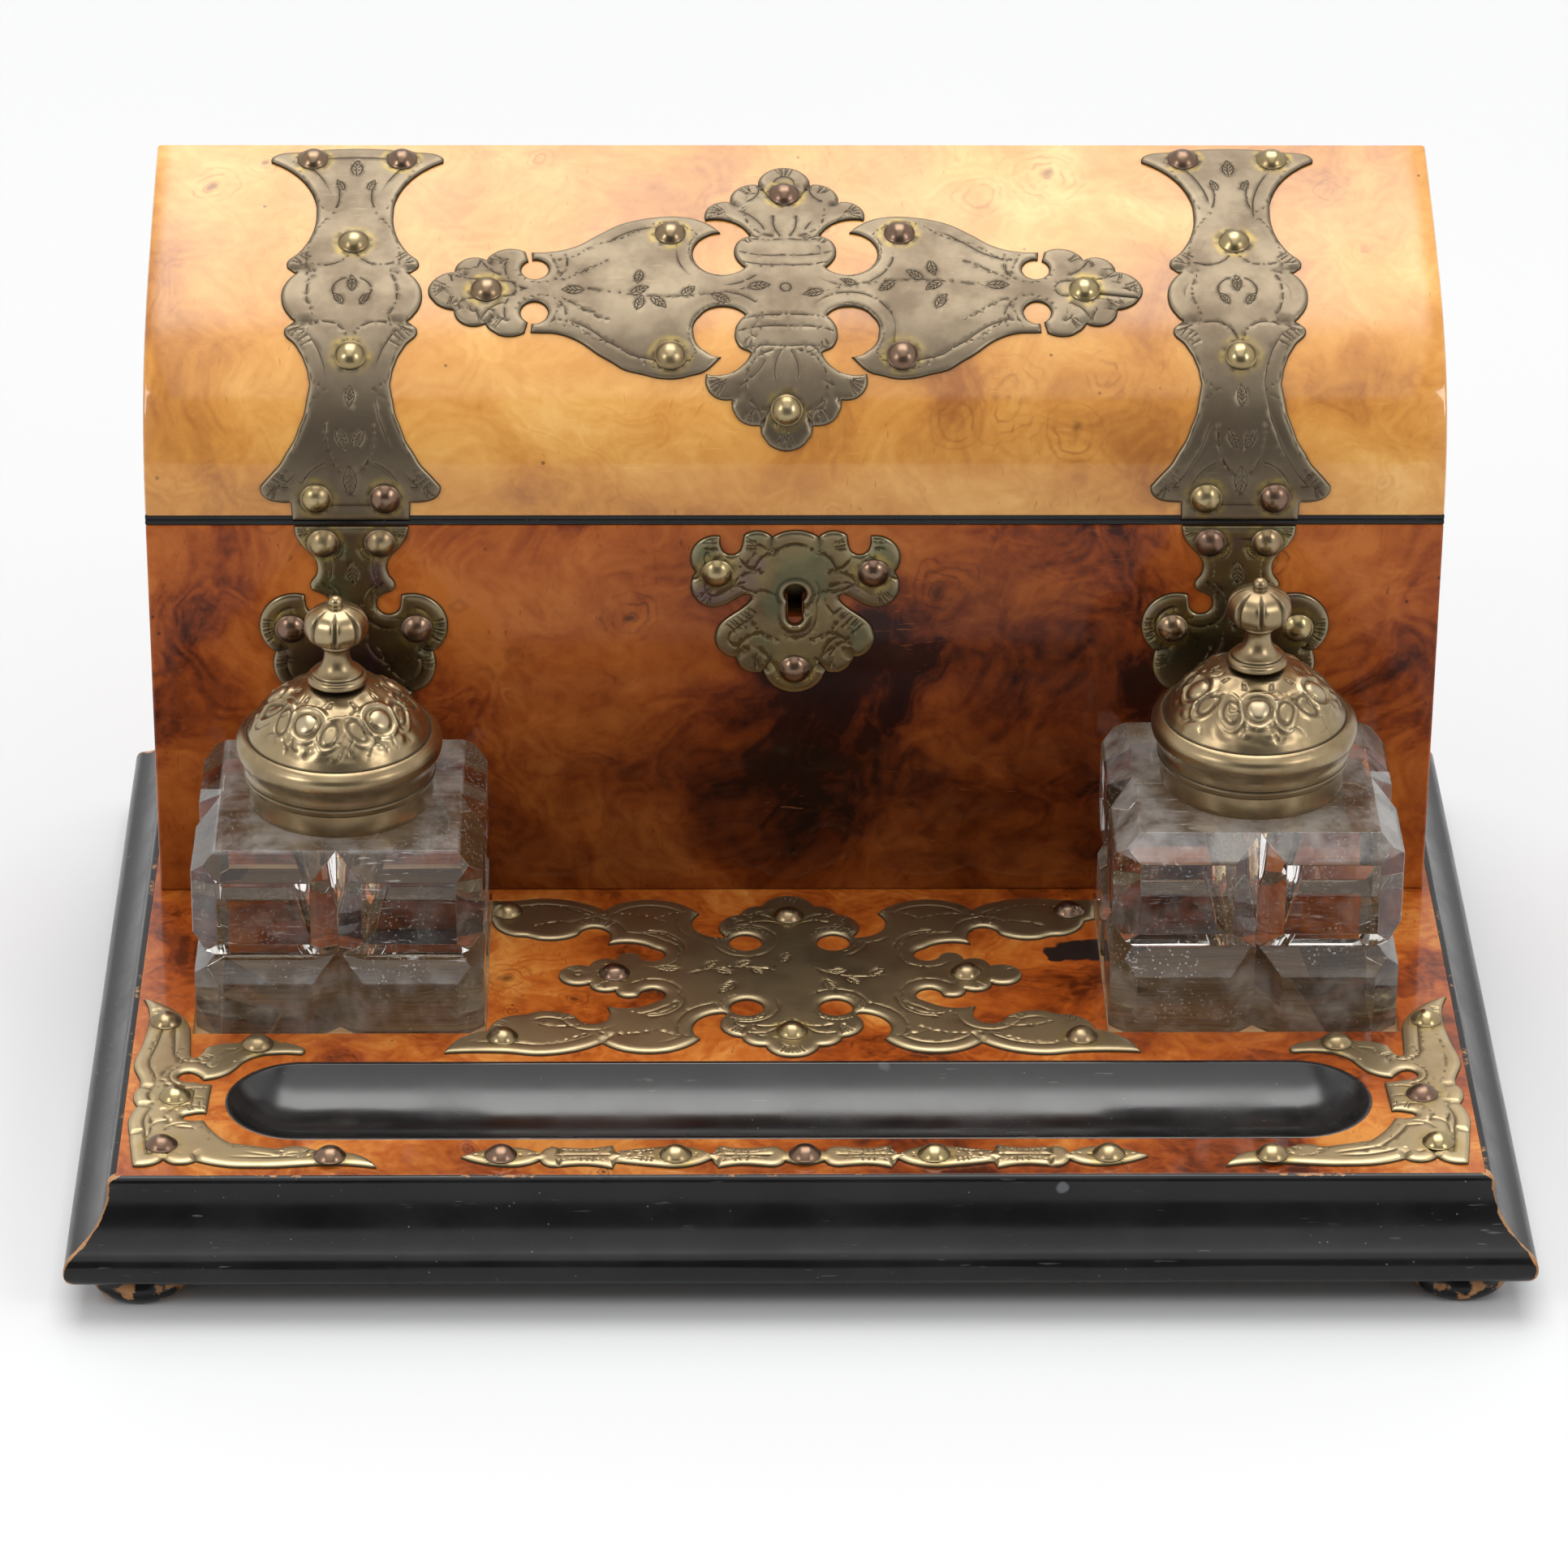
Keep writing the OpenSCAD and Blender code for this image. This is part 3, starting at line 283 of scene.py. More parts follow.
class Shader(Nodes):
    """A Principled material built from a few node calls. Lengths in its textures are mm."""

    def __init__(self, name):
        self.material = bpy.data.materials.new(name)
        self.material.use_nodes = True
        super().__init__(self.material.node_tree)
        self.bsdf = self.tree.nodes["Principled BSDF"]
        coord = self.tree.nodes.new("ShaderNodeTexCoord")
        self.mm = self.vector("SCALE", coord.outputs["Object"], 1 / MM)

    def vector(self, op, a, b):
        n = self.tree.nodes.new("ShaderNodeVectorMath")
        n.operation = op
        self.feed(n.inputs[0], a)
        self.feed(n.inputs["Scale"] if op == "SCALE" else n.inputs[1], b)
        return n.outputs["Value"] if op in ("LENGTH", "DISTANCE") else n.outputs[0]

    def stretched(self, at, scale, turn=(0, 0, 0)):
        """at, turned and scaled, for streaks"""
        n = self.tree.nodes.new("ShaderNodeMapping")
        self.feed(n.inputs["Vector"], at)
        n.inputs["Rotation"].default_value = turn
        n.inputs["Scale"].default_value = scale
        return n.outputs[0]

    def noise(self, size, detail=3.0, rough=0.55, at=None, colour=False, w=0.0):
        n = self.tree.nodes.new("ShaderNodeTexNoise")
        n.noise_dimensions = "4D"
        self.feed(n.inputs["Vector"], at or self.mm)
        n.inputs["W"].default_value = w
        n.inputs["Scale"].default_value = 1 / size
        n.inputs["Detail"].default_value = detail
        n.inputs["Roughness"].default_value = rough
        return n.outputs["Color" if colour else "Fac"]

    def cells(self, size, at=None):
        n = self.tree.nodes.new("ShaderNodeTexVoronoi")
        self.feed(n.inputs["Vector"], at or self.mm)
        n.inputs["Scale"].default_value = 1 / size
        return n.outputs["Distance"]

    def ramp(self, value, *stops):
        n = self.tree.nodes.new("ShaderNodeValToRGB")
        self.feed(n.inputs[0], value)
        spare = n.color_ramp.elements
        while len(spare) < len(stops):
            spare.new(0.5)
        for element, (at, colour) in zip(spare, stops):
            element.position, element.color = at, (*colour, 1)
        return n.outputs[0]

    def mix(self, factor, a, b, blend="MIX"):
        n = self.tree.nodes.new("ShaderNodeMix")
        n.data_type, n.blend_type = "RGBA", blend
        for socket, v in zip((n.inputs[0], n.inputs[6], n.inputs[7]), (factor, a, b)):
            self.feed(socket, (*v, 1) if isinstance(v, tuple) and len(v) == 3 else v)
        return n.outputs[2]

    def attribute(self, name):
        n = self.tree.nodes.new("ShaderNodeAttribute")
        n.attribute_name = name
        return n.outputs["Fac"]

    def warp(self, at, size, amount, w=0.0):
        """at, pushed about by a noise of that size by up to amount mm"""
        push = self.vector("SUBTRACT", self.noise(size, 2.0, 0.5, at, colour=True, w=w), (0.5, 0.5, 0.5))
        return self.vector("ADD", at, self.vector("SCALE", push, 2 * amount))

    def bump(self, *layers):
        """layers are (height in mm, weight 0..1, distance in mm)"""
        normal = None
        for height, strength, distance in layers:
            n = self.tree.nodes.new("ShaderNodeBump")
            n.inputs["Strength"].default_value = strength
            n.inputs["Distance"].default_value = distance * MM
            self.feed(n.inputs["Height"], height)
            if normal:
                self.feed(n.inputs["Normal"], normal)
            normal = n.outputs[0]
        self.feed(self.bsdf.inputs["Normal"], normal)

    def set(self, **inputs):
        for key, value in inputs.items():
            socket = self.bsdf.inputs[key.replace("_", " ")]
            self.feed(socket, (*value, 1) if isinstance(value, tuple) and len(value) == 3 else value)
        return self.material


def scratches(s, size=9.0, density=0.5):
    """Fine straight scratches in a few directions, 1 on a scratch"""
    total = None
    for k, angle in enumerate((0.3, 1.4, 2.3)):
        streaks = s.stretched(s.mm, (1 / size, 9 / size, 9 / size), (0.7 * k, 0.4 * k, angle))
        lines = s.noise(1.0, 2.0, 0.6, streaks, w=3.1 * k)
        fine = s.span(lines, 0.66 + 0.06 * (1 - density), 0.72)
        total = fine if total is None else s.most(total, fine)
    return s.mul(total, s.span(s.noise(22, 2.0), 0.45, 0.62))


def burr(name, dark, mid, light, pale, contrast=1.0, knots=0.5, seed=0.0, size=1.0, marks=(), ink=(), tone_and_shade_patches=(),
        gloss=0.07, coat=1.38):
    """French-polished burr walnut. marks are knots (x, y, z, radius) and ink stains likewise.
    The patches (x, y, z, half width, half depth, half height, change) make it lighter above 0 and darker below
    0, by a multiplied dark brown; the dark patch on the deck in front of the casket is painted shade."""
    s = Shader(name)
    swirl = s.warp(s.warp(s.mm, 46 * size, 26 * size, seed), 15 * size, 6 * size, seed + 4)
    figure = s.noise(44 * size, 6.0, 0.56, swirl, w=seed)
    rings = s.noise(24 * size, 2.0, 0.5, swirl, w=seed + 8)
    wave = s.math("SINE", s.mul(rings, 70.0))
    fine = s.math("SINE", s.mul(s.noise(11 * size, 3.0, 0.5, swirl, w=seed + 2), 60.0))
    tone = s.plus(figure, s.mul(wave, 0.020))
    tone = s.plus(tone, s.mul(fine, 0.012))
    tone = s.plus(tone, s.mul(s.minus(s.noise(2.4, 4.0, 0.7), 0.5), 0.10))
    mottle = s.noise(4.2 * size, 4.0, 0.66, s.warp(s.mm, 6, 2.2, seed + 7), w=seed + 9)
    tone = s.plus(tone, s.mul(s.minus(mottle, 0.5), 0.13))
    spread = s.plus(s.mul(s.minus(tone, 0.5), contrast), 0.5)
    drift = s.warp(s.warp(s.mm, 40, 22, seed + 20), 12, 8, seed + 21)
    darkened_patches = []
    for x, y, z, wide, deep, high, change in tone_and_shade_patches:
        gap = s.vector("LENGTH", s.vector("DIVIDE", s.vector("SUBTRACT", drift, (x, y, z)), (wide, deep, high)),
            (0, 0, 0))
        if change > 0:
            spread = s.plus(spread, s.span(gap, 1.25, 0.35, 0.0, change))
        else:
            darkened_patches.append(s.span(gap, 1.3, 0.3, 0.0, -change))
    colour = s.ramp(spread, (0.16, tuple(c * 0.45 for c in dark)), (0.34, dark), (0.46, mid), (0.57, light),
        (0.70, pale))
    # Dark patches multiply the colour by a dark brown; on the deck in front of the casket this is painted shade
    for darkened_patch in darkened_patches:
        colour = s.mix(s.mul(darkened_patch, s.span(figure, 0.72, 0.30, 0.55, 1.0)), colour, (0.16, 0.11, 0.09),
            "MULTIPLY")
    # Burr eyes: small rings of dark figure in loose clusters
    eyes_at = s.warp(s.mm, 7, 3.2, seed + 5)
    eyes = s.cells(15 * size, eyes_at)
    cluster = s.span(s.noise(52 * size, 2.0, 0.5, s.mm, w=seed + 11), 0.56 - 0.1 * knots, 0.68 - 0.1 * knots)
    ring = s.math("ABSOLUTE", s.math("SINE", s.mul(eyes, 26.0)))
    eye = s.mul(s.span(eyes, 0.36, 0.1), s.mul(cluster, s.span(ring, 0.9, 0.25)))
    colour = s.mix(s.mul(eye, 0.62), colour, dark)
    core = s.mul(s.span(eyes, 0.085, 0.03), cluster)
    colour = s.mix(s.mul(core, 0.8), colour, tuple(c * 0.35 for c in dark))
    # Pores and specks
    pores_at = s.stretched(s.warp(s.mm, 18, 5, seed + 1), (1.0, 0.24, 0.24))
    pore = s.span(s.noise(0.85, 2.0, 0.6, pores_at, w=seed), 0.63, 0.74)
    pore = s.mul(pore, s.span(s.noise(30, 2.0, 0.5, w=seed + 3), 0.4, 0.6))
    colour = s.mix(s.mul(pore, 0.55), colour, dark)
    speck = s.mul(s.span(s.cells(7.5, s.mm), 0.075, 0.045), s.span(s.noise(21, 2.0, w=seed + 6), 0.52, 0.6))
    colour = s.mix(s.mul(speck, 0.7), colour, tuple(c * 0.3 for c in dark))
    for x, y, z, r in marks:
        gap = s.vector("DISTANCE", s.warp(s.warp(s.mm, 9, 0.38 * r, x * 0.1), 2.6, 0.6), (x, y, z))
        swell = s.math("ABSOLUTE", s.math("SINE", s.mul(gap, 4.6 / math.sqrt(r))))
        near = s.mul(s.span(gap, r, r * 0.35), s.span(s.noise(4.5, 3.0, w=x), 0.34, 0.62))
        colour = s.mix(s.mul(near, s.mul(s.span(swell, 0.8, 0.1), 0.5)), colour, tuple(c * 0.7 for c in dark))
        colour = s.mix(s.span(gap, r * 0.22, r * 0.1, 0.0, 0.7), colour, tuple(c * 0.35 for c in dark))
    for x, y, z, r in ink:
        gap = s.vector("DISTANCE", s.warp(s.mm, 7, 3.0, x * 0.1), (x, y, z))
        colour = s.mix(s.span(gap, r, r * 0.8), colour, (0.012, 0.008, 0.007))
    scratch = scratches(s)
    colour = s.mix(s.mul(scratch, 0.16), colour, tuple(min(1.0, c * 1.5 + 0.05) for c in light))
    haze = s.noise(38, 4.0, 0.6, w=seed + 2)
    s.bump((s.noise(30, 2.0, 0.5), 0.25, 0.25), (pore, 0.25, 0.05), (scratch, 0.2, 0.03))
    s.set(Base_Color=colour, Roughness=s.span(haze, 0.3, 0.7, 0.30, 0.44),
        Coat_Weight=s.span(haze, 0.25, 0.75, 1.0, 0.75))
    s.bsdf.inputs["Coat Roughness"].default_value = gloss
    s.bsdf.inputs["Coat IOR"].default_value = coat
    s.bsdf.inputs["IOR"].default_value = 1.2
    return s.material


def plain_wood(name, dark, light, along=0, gloss=0.45):
    """Straight-grained wood, its grain running along axis 0, 1 or 2"""
    s = Shader(name)
    stretch = [0.55, 0.55, 0.55]
    stretch[along] = 0.02
    grain_at = s.stretched(s.warp(s.mm, 60, 3.0), stretch)
    grain = s.noise(1.0, 5.0, 0.62, grain_at)
    band = s.noise(7.0, 2.0, 0.5, grain_at, w=2.0)
    tone = s.plus(s.mul(grain, 0.6), s.mul(band, 0.4))
    colour = s.ramp(tone, (0.36, dark), (0.62, light))
    grime = s.noise(25, 4.0, 0.6, w=5.0)
    colour = s.mix(s.span(grime, 0.5, 0.75, 0.0, 0.5), colour, tuple(c * 0.6 for c in dark))
    s.bump((grain, 0.5, 0.12))
    return s.set(Base_Color=colour, Roughness=s.span(grime, 0.3, 0.7, gloss, gloss + 0.15))


def ebonised(name, ior=1.38):
    """Black-stained and polished wood; the wear attribute rubs it through to the brown below"""
    s = Shader(name)
    wear = s.attribute("wear")
    chip = s.noise(3.2, 4.0, 0.65)
    rubbed = s.span(s.plus(wear, s.mul(s.minus(chip, 0.5), 1.1)), 0.62, 0.74)
    brown = s.mix(s.noise(2.2, 3.0), (0.20, 0.075, 0.022), (0.52, 0.27, 0.11))
    black = s.mix(s.span(s.noise(26, 4.0, 0.6), 0.35, 0.7), (0.0035, 0.0033, 0.0036), (0.010, 0.0095, 0.0095))
    drips = s.mul(s.span(s.cells(24, s.warp(s.mm, 9, 2.0)), 0.085, 0.06),
        s.span(s.noise(60, 1.0, w=4.0), 0.50, 0.56))
    dust = s.span(s.cells(2.7), 0.10, 0.04, 0.0, 0.35)
    dust = s.mul(dust, s.span(s.noise(17, 2.0, w=7.0), 0.5, 0.6))
    colour = s.mix(drips, black, (0.10, 0.105, 0.11))
    colour = s.mix(dust, colour, (0.35, 0.34, 0.32))
    scratch = scratches(s, 12)
    colour = s.mix(s.mul(scratch, 0.30), colour, (0.22, 0.20, 0.18))
    colour = s.mix(rubbed, colour, brown)
    haze = s.noise(20, 4.0, 0.6, w=1.0)
    grain = s.noise(1.0, 3.0, 0.6, s.stretched(s.mm, (0.03, 0.6, 0.6)))
    s.bump((grain, 0.16, 0.05), (s.noise(24, 2.0), 0.3, 0.3), (s.minus(1.0, rubbed), 0.4, 0.08),
        (scratch, 0.3, 0.03))
    s.set(Base_Color=colour, Roughness=s.plus(s.span(haze, 0.3, 0.7, 0.16, 0.30), s.mul(rubbed, 0.25)), IOR=ior)
    return s.material


def old_brass(name, base, brown, bright, rough=0.30, tint=0.0, pitted=1.0):
    """Patinated brass. cut darkens engraving, rim rubs edges, stain rings the nails, tone varies nails."""
    s = Shader(name)
    cut, rim, stain, tone = (s.attribute(k) for k in ("cut", "rim", "stain", "tone"))
    cloud = s.noise(13, 5.0, 0.6)
    colour = s.mix(s.span(cloud, 0.36, 0.68), base, brown)
    if tint:
        drift = s.noise(17, 3.0, 0.55, w=3.0)
        colour = s.mix(s.span(drift, 0.52, 0.66, 0.0, tint), colour, (0.13, 0.07, 0.12))
        colour = s.mix(s.span(drift, 0.48, 0.36, 0.0, tint), colour, (0.09, 0.12, 0.07))
    colour = s.mix(s.mul(rim, s.span(s.noise(5, 3.0, w=2.0), 0.3, 0.7, 0.5, 0.95)), colour, bright)
    colour = s.mix(s.span(tone, 0.45, 0.8, 0.0, 0.85), colour, (0.17, 0.10, 0.075))
    spots = s.mul(s.span(s.cells(4.6, s.warp(s.mm, 4, 1.2)), 0.13, 0.06),
        s.span(s.noise(15, 2.0, w=9.0), 0.52, 0.62))
    colour = s.mix(s.mul(spots, 0.6), colour, tuple(c * 0.4 for c in brown))
    colour = s.mix(s.mul(stain, 0.8), colour, (0.33, 0.24, 0.07))
    colour = s.mix(s.mul(cut, 0.8), colour, (0.030, 0.024, 0.017))
    scratch = scratches(s, 7)
    colour = s.mix(s.mul(scratch, 0.4), colour, bright)
    grainy = s.noise(1.1, 3.0, 0.6)
    s.bump((s.noise(8, 3.0, 0.5), 0.22 * pitted, 0.2), (grainy, 0.16 * pitted, 0.05), (scratch, 0.2, 0.03))
    return s.set(Base_Color=colour, Metallic=1.0, Roughness=s.plus(s.span(cloud, 0.3, 0.7, rough, rough + 0.12),
        s.mul(cut, 0.25)))


def steel_like(name, base, rough):
    s = Shader(name)
    cloud = s.noise(3.0, 4.0, 0.65)
    colour = s.mix(s.span(cloud, 0.4, 0.7), base, tuple(c * 0.45 for c in base))
    s.bump((s.noise(0.7, 3.0, 0.6), 0.25, 0.04))
    return s.set(Base_Color=colour, Metallic=1.0, Roughness=s.span(cloud, 0.3, 0.7, rough, rough + 0.2))


def cut_glass(name):
    """Clear lead glass with faint scratches and dust, which lets lamps through so that it isn't left black"""
    s = Shader(name)
    scratch = s.most(scratches(s, 6, 0.9), scratches(s, 11, 0.9))
    dust = s.mul(s.span(s.cells(1.1), 0.30, 0.10), s.span(s.noise(13, 3.0, w=2.0), 0.42, 0.60))
    low = s.span(s.split(s.mm)[2], 47.5, 43.5)
    high = s.mul(s.span(s.split(s.mm)[2], 74.6, 75.3), s.span(s.noise(14, 4.0, 0.7, w=6.0), 0.36, 0.66, 0.04,
        0.42))
    film = s.mul(s.span(s.noise(9, 5.0, 0.65, w=4.0), 0.38, 0.70, 0.03, 0.28), low)
    film = s.most(film, high)
    marks = s.most(s.mul(scratch, 0.6), s.most(s.mul(dust, 0.5), film))
    s.bump((scratch, 0.2, 0.02), (s.noise(16, 1.0), 0.10, 0.10))
    s.set(Base_Color=(1.0, 0.988, 0.965), Roughness=s.mul(marks, 0.16), IOR=1.53)
    s.set(Transmission_Weight=s.minus(1.0, s.mul(marks, 0.45)))
    path, clear, both = (s.tree.nodes.new("ShaderNode" + k) for k in ("LightPath", "BsdfTransparent",
        "MixShader"))
    clear.inputs[0].default_value = (0.86, 0.88, 0.87, 1)
    s.feed(both.inputs[0], path.outputs["Is Shadow Ray"])
    s.feed(both.inputs[1], s.bsdf.outputs[0])
    s.feed(both.inputs[2], clear.outputs[0])
    s.feed(s.tree.nodes["Material Output"].inputs[0], both.outputs[0])
    return s.material


lid_walnut = burr("lid_walnut", (0.36, 0.125, 0.026), (0.58, 0.250, 0.050), (0.70, 0.355, 0.090),
    (0.82, 0.50, 0.18), contrast=0.72, knots=0.75, seed=2.0, coat=1.5,
    marks=((50, 30, 156, 15), (66, 25, 150, 11), (37, 26, 152, 10), (72, 34, 160, 9), (60, 88, 189, 14),
    (44, 80, 188, 11), (136, 62, 184, 8), (128, 82, 188, 9), (-138, 84, 187, 11), (-126, 92, 188, 7)),
    tone_and_shade_patches=((60, 40, 150, 60, 60, 40, -0.10), (-60, 40, 150, 50, 60, 30, 0.03)))
casket_walnut = burr("casket_walnut", (0.050, 0.0075, 0.0015), (0.235, 0.044, 0.006), (0.37, 0.088, 0.012),
    (0.48, 0.14, 0.024), contrast=1.4, knots=0.35, seed=7.0, size=1.15, coat=1.24,
    marks=((-38, FRONT_Y, 104, 10), (34, FRONT_Y, 112, 12), (112, FRONT_Y, 118, 7), (8, FRONT_Y, 70, 12)),
    tone_and_shade_patches=((24, 20, 80, 104, 60, 50, -0.66), (-20, 20, 28, 160, 60, 50, -1.0),
    (112, 20, 66, 40, 60, 54, -0.05), (-132, 20, 104, 44, 60, 70, 0.10), (-52, 20, 120, 70, 60, 34, 0.05),
    (145, 20, 104, 34, 60, 70, 0.10), (70, 20, 118, 60, 60, 26, 0.08)))
deck_walnut = burr("deck_walnut", (0.075, 0.012, 0.002), (0.27, 0.052, 0.006), (0.41, 0.105, 0.014),
    (0.56, 0.22, 0.045), contrast=1.2, knots=0.6, seed=13.0, size=0.8,
    marks=((70, -26, DECK_Z, 3.4), (-67, -22, DECK_Z, 11), (-52, -31, DECK_Z, 8)),
    ink=((62, -10.5, DECK_Z, 3.6), (66.5, -9.5, DECK_Z, 5.2), (72, -9, DECK_Z, 6.4)),
    # Darker along the front, lighter at the right, and a darker patch in front of the casket which is painted
    # shade
    tone_and_shade_patches=((0, -104, DECK_Z, 190, 16, 20, -0.40), (150, -60, DECK_Z, 30, 60, 20, 0.06),
    (0, -10, DECK_Z, 80, 40, 20, -0.22)))
oak = plain_wood("oak", (0.24, 0.12, 0.05), (0.46, 0.28, 0.13), 0, 0.5)
plain_walnut = plain_wood("plain_walnut", (0.11, 0.045, 0.016), (0.27, 0.125, 0.048), 0, 0.38)
ebony = ebonised("ebonised_wood")
tray_ebony = ebonised("tray_ebony", 1.62)
plate_brass = old_brass("plate_brass", (0.39, 0.305, 0.175), (0.295, 0.215, 0.118), (0.56, 0.46, 0.28), 0.33)
# A darker copy of the plate brass for the lid plates: their darker patina, and painted shade making up for the
# brighter light over the lid
lid_brass_patina_and_shade = old_brass("lid_brass_patina_and_shade", (0.180, 0.143, 0.098), (0.135, 0.102, 0.069), (0.30, 0.245, 0.165), 0.37)
front_brass = old_brass("front_brass", (0.185, 0.140, 0.070), (0.115, 0.080, 0.046), (0.36, 0.30, 0.19), 0.24,
    tint=0.5)
nail_brass = old_brass("nail_brass", (0.33, 0.255, 0.125), (0.235, 0.165, 0.09), (0.46, 0.37, 0.21), 0.23,
    pitted=0.6)
well_brass = old_brass("well_brass", (0.35, 0.27, 0.155), (0.235, 0.17, 0.095), (0.52, 0.43, 0.29), 0.25)
hinge_brass = old_brass("hinge_brass", (0.46, 0.35, 0.17), (0.30, 0.21, 0.10), (0.60, 0.50, 0.28), 0.32)
steel = steel_like("dull_steel", (0.32, 0.31, 0.30), 0.35)
glass = cut_glass("cut_glass")


# ---- Curve of the lid ---------------------------------------------------------------------------
LID_UPRIGHT = 1.4
LID_BEND = 68.0
LID_ARCS = ((53.4, 0.22), (36.8, 0.555), (73.0, 0.225))
LID_TOP_R = 375.0


def lid_curve(step=1.0):
    """[y, z, heading] along the outside of the lid, from its lower front edge to its rear edge"""
    rows = [(FRONT_Y, LID_Z, 90.0), (FRONT_Y, LID_Z + LID_UPRIGHT, 90.0)]
    y, z, heading = rows[-1]
    for r, share in (*LID_ARCS, (LID_TOP_R, None)):
        sweep = share * LID_BEND if share else heading - math.degrees(math.asin(math.sin(math.radians(heading))
            - (BACK_Y - y) / r))
        n = max(2, math.ceil(sweep / step))
        for k in range(n):
            d = math.radians(heading - sweep * (k + 0.5) / n)
            chord = 2 * r * math.sin(math.radians(sweep / n / 2))
            y, z = y + chord * math.cos(d), z + chord * math.sin(d)
            rows.append((y, z, heading - sweep * (k + 1) / n))
        heading -= sweep
    return np.array(rows)


CURVE = lid_curve()
RUN = np.concatenate([[0], np.cumsum(np.hypot(*np.diff(CURVE[:, :2], axis=0).T))])


def lid_point(x, s, h):
    """Points at x, at length s along the lid's curve, h proud of it"""
    x, s, h = np.broadcast_arrays(x, s, h)
    y, z, a = (np.interp(s, RUN, CURVE[:, k]) for k in range(3))
    z = z + np.minimum(s, 0)
    a = np.radians(a)
    return np.stack([x, y - h * np.sin(a), z + h * np.cos(a)], -1)


FINE_S = np.arange(-3, RUN[-1], 0.05)
FINE = lid_point(0, FINE_S, 0)


def lid_flat(points):
    """x, length along the curve and height above it, of points near the lid"""
    out = np.empty((len(points), 3))
    for k, p in enumerate(points):
        i = int(np.argmin((FINE[:, 1] - p[1]) ** 2 + (FINE[:, 2] - p[2]) ** 2))
        a = math.radians(np.interp(FINE_S[i], RUN, CURVE[:, 2]))
        off = (p[1] - FINE[i, 1], p[2] - FINE[i, 2])
        out[k] = p[0], FINE_S[i], -off[0] * math.sin(a) + off[1] * math.cos(a)
    return out


def deck_flat(points):
    return points - [0, 0, DECK_Z]


def deck_point(u, v, h):
    return np.stack(np.broadcast_arrays(u, v, h), -1) + [0, 0, DECK_Z]


def wall_flat(points):
    return np.stack([points[:, 0], points[:, 2], FRONT_Y - points[:, 1]], -1)


def wall_point(u, v, h):
    u, v, h = np.broadcast_arrays(u, v, h)
    return np.stack([u, FRONT_Y - h, v], -1)


# ---- Brass plates -------------------------------------------------------------------------------
def outline_loops(node, flat):
    """The outline and openings of a CAD plate, as loops of flat points"""
    mesh = NODES[node].data
    mesh.calc_loop_triangles()
    flats = flat(np.array([v.co for v in mesh.vertices]) / MM)
    where, index = [], {}
    for i in np.nonzero(flats[:, 2] > 0.6 * PLATE_T)[0]:
        p = flats[i, :2]
        away = np.hypot(*(np.array(where) - p).T) if where else np.array([9.0])
        index[i] = int(away.argmin()) if away.min() < 0.08 else len(where)
        if index[i] == len(where):
            where.append(p)
    where = np.array(where)
    used = set()
    for t in mesh.loop_triangles:
        if any(i not in index for i in t.vertices):
            continue
        a, b, c = (index[i] for i in t.vertices)
        (px, py), (qx, qy) = where[b] - where[a], where[c] - where[a]
        area = px * qy - qx * py
        if len({a, b, c}) == 3 and abs(area) > 1e-3:
            used |= {(a, b), (b, c), (c, a)} if area > 0 else {(a, c), (c, b), (b, a)}
    # Sides that meet others only part of their length are split where those end
    loose = sorted((a, b) for a, b in used if (b, a) not in used)
    ends = np.array(sorted({a for e in loose for a in e}))
    split = {}
    for a, b in loose:
        along, off = where[b] - where[a], where[ends] - where[a]
        t = off @ along / (along @ along)
        on = (np.abs(off[:, 0] * along[1] - off[:, 1] * along[0]) < 0.07 * np.hypot(*along)) & (t > 0.001) & (
            t < 0.999)
        chain = [a, *ends[on][np.argsort(t[on])].tolist(), b]
        split.update(dict.fromkeys(zip(chain, chain[1:])))
    follow = {}
    for a, b in split:
        if (b, a) not in split:
            follow.setdefault(a, []).append(b)
    loops = []
    while follow:
        start = next(iter(follow))
        loop, at = [start], start
        while at in follow:
            ahead = follow[at].pop()
            if not follow[at]:
                del follow[at]
            at = ahead
            if at == start:
                break
            loop.append(at)
        loops.append(where[loop])
    return loops


def loop_area(p):
    return float(np.sum(p[:, 0] * np.roll(p[:, 1], -1) - np.roll(p[:, 0], -1) * p[:, 1])) / 2


def smooth_loop(points, spacing, corner=33):
    """A loop's true curve through its corner points, which stay sharp, at an even spacing"""
    keep = [points[0]]
    for p in points[1:]:
        if np.hypot(*(p - keep[-1])) > 0.22:
            keep.append(p)
    if np.hypot(*(keep[0] - keep[-1])) < 0.22:
        keep.pop()
    p = np.array(keep)
    n = len(p)
    ahead = np.roll(p, -1, 0) - p
    length = np.hypot(*ahead.T)
    unit = ahead / length[:, None]
    back_unit, back_len = np.roll(unit, 1, 0), np.roll(length, 1)
    turn = np.degrees(np.arccos(np.clip((unit * back_unit).sum(1), -1, 1)))
    sharp = turn > corner
    tangent = (back_unit * length[:, None] + unit * back_len[:, None]) / (length + back_len)[:, None]
    tangent /= np.hypot(*tangent.T)[:, None]
    out = []
    for i in range(n):
        j = (i + 1) % n
        t0 = unit[i] if sharp[i] else tangent[i]
        t1 = unit[i] if sharp[j] else tangent[j]
        if sharp[i] and not sharp[j]:
            t0 = 2 * unit[i] * (unit[i] @ t1) - t1
        if sharp[j] and not sharp[i]:
            t1 = 2 * unit[i] * (unit[i] @ t0) - t0
        steps = max(1, round(length[i] / spacing))
        for k in range(steps):
            t = k / steps
            h = (2 * t**3 - 3 * t**2 + 1, t**3 - 2 * t**2 + t, -2 * t**3 + 3 * t**2, t**3 - t**2)
            out.append(h[0] * p[i] + h[1] * length[i] * t0 + h[2] * p[j] + h[3] * length[i] * t1)
    return np.array(out)


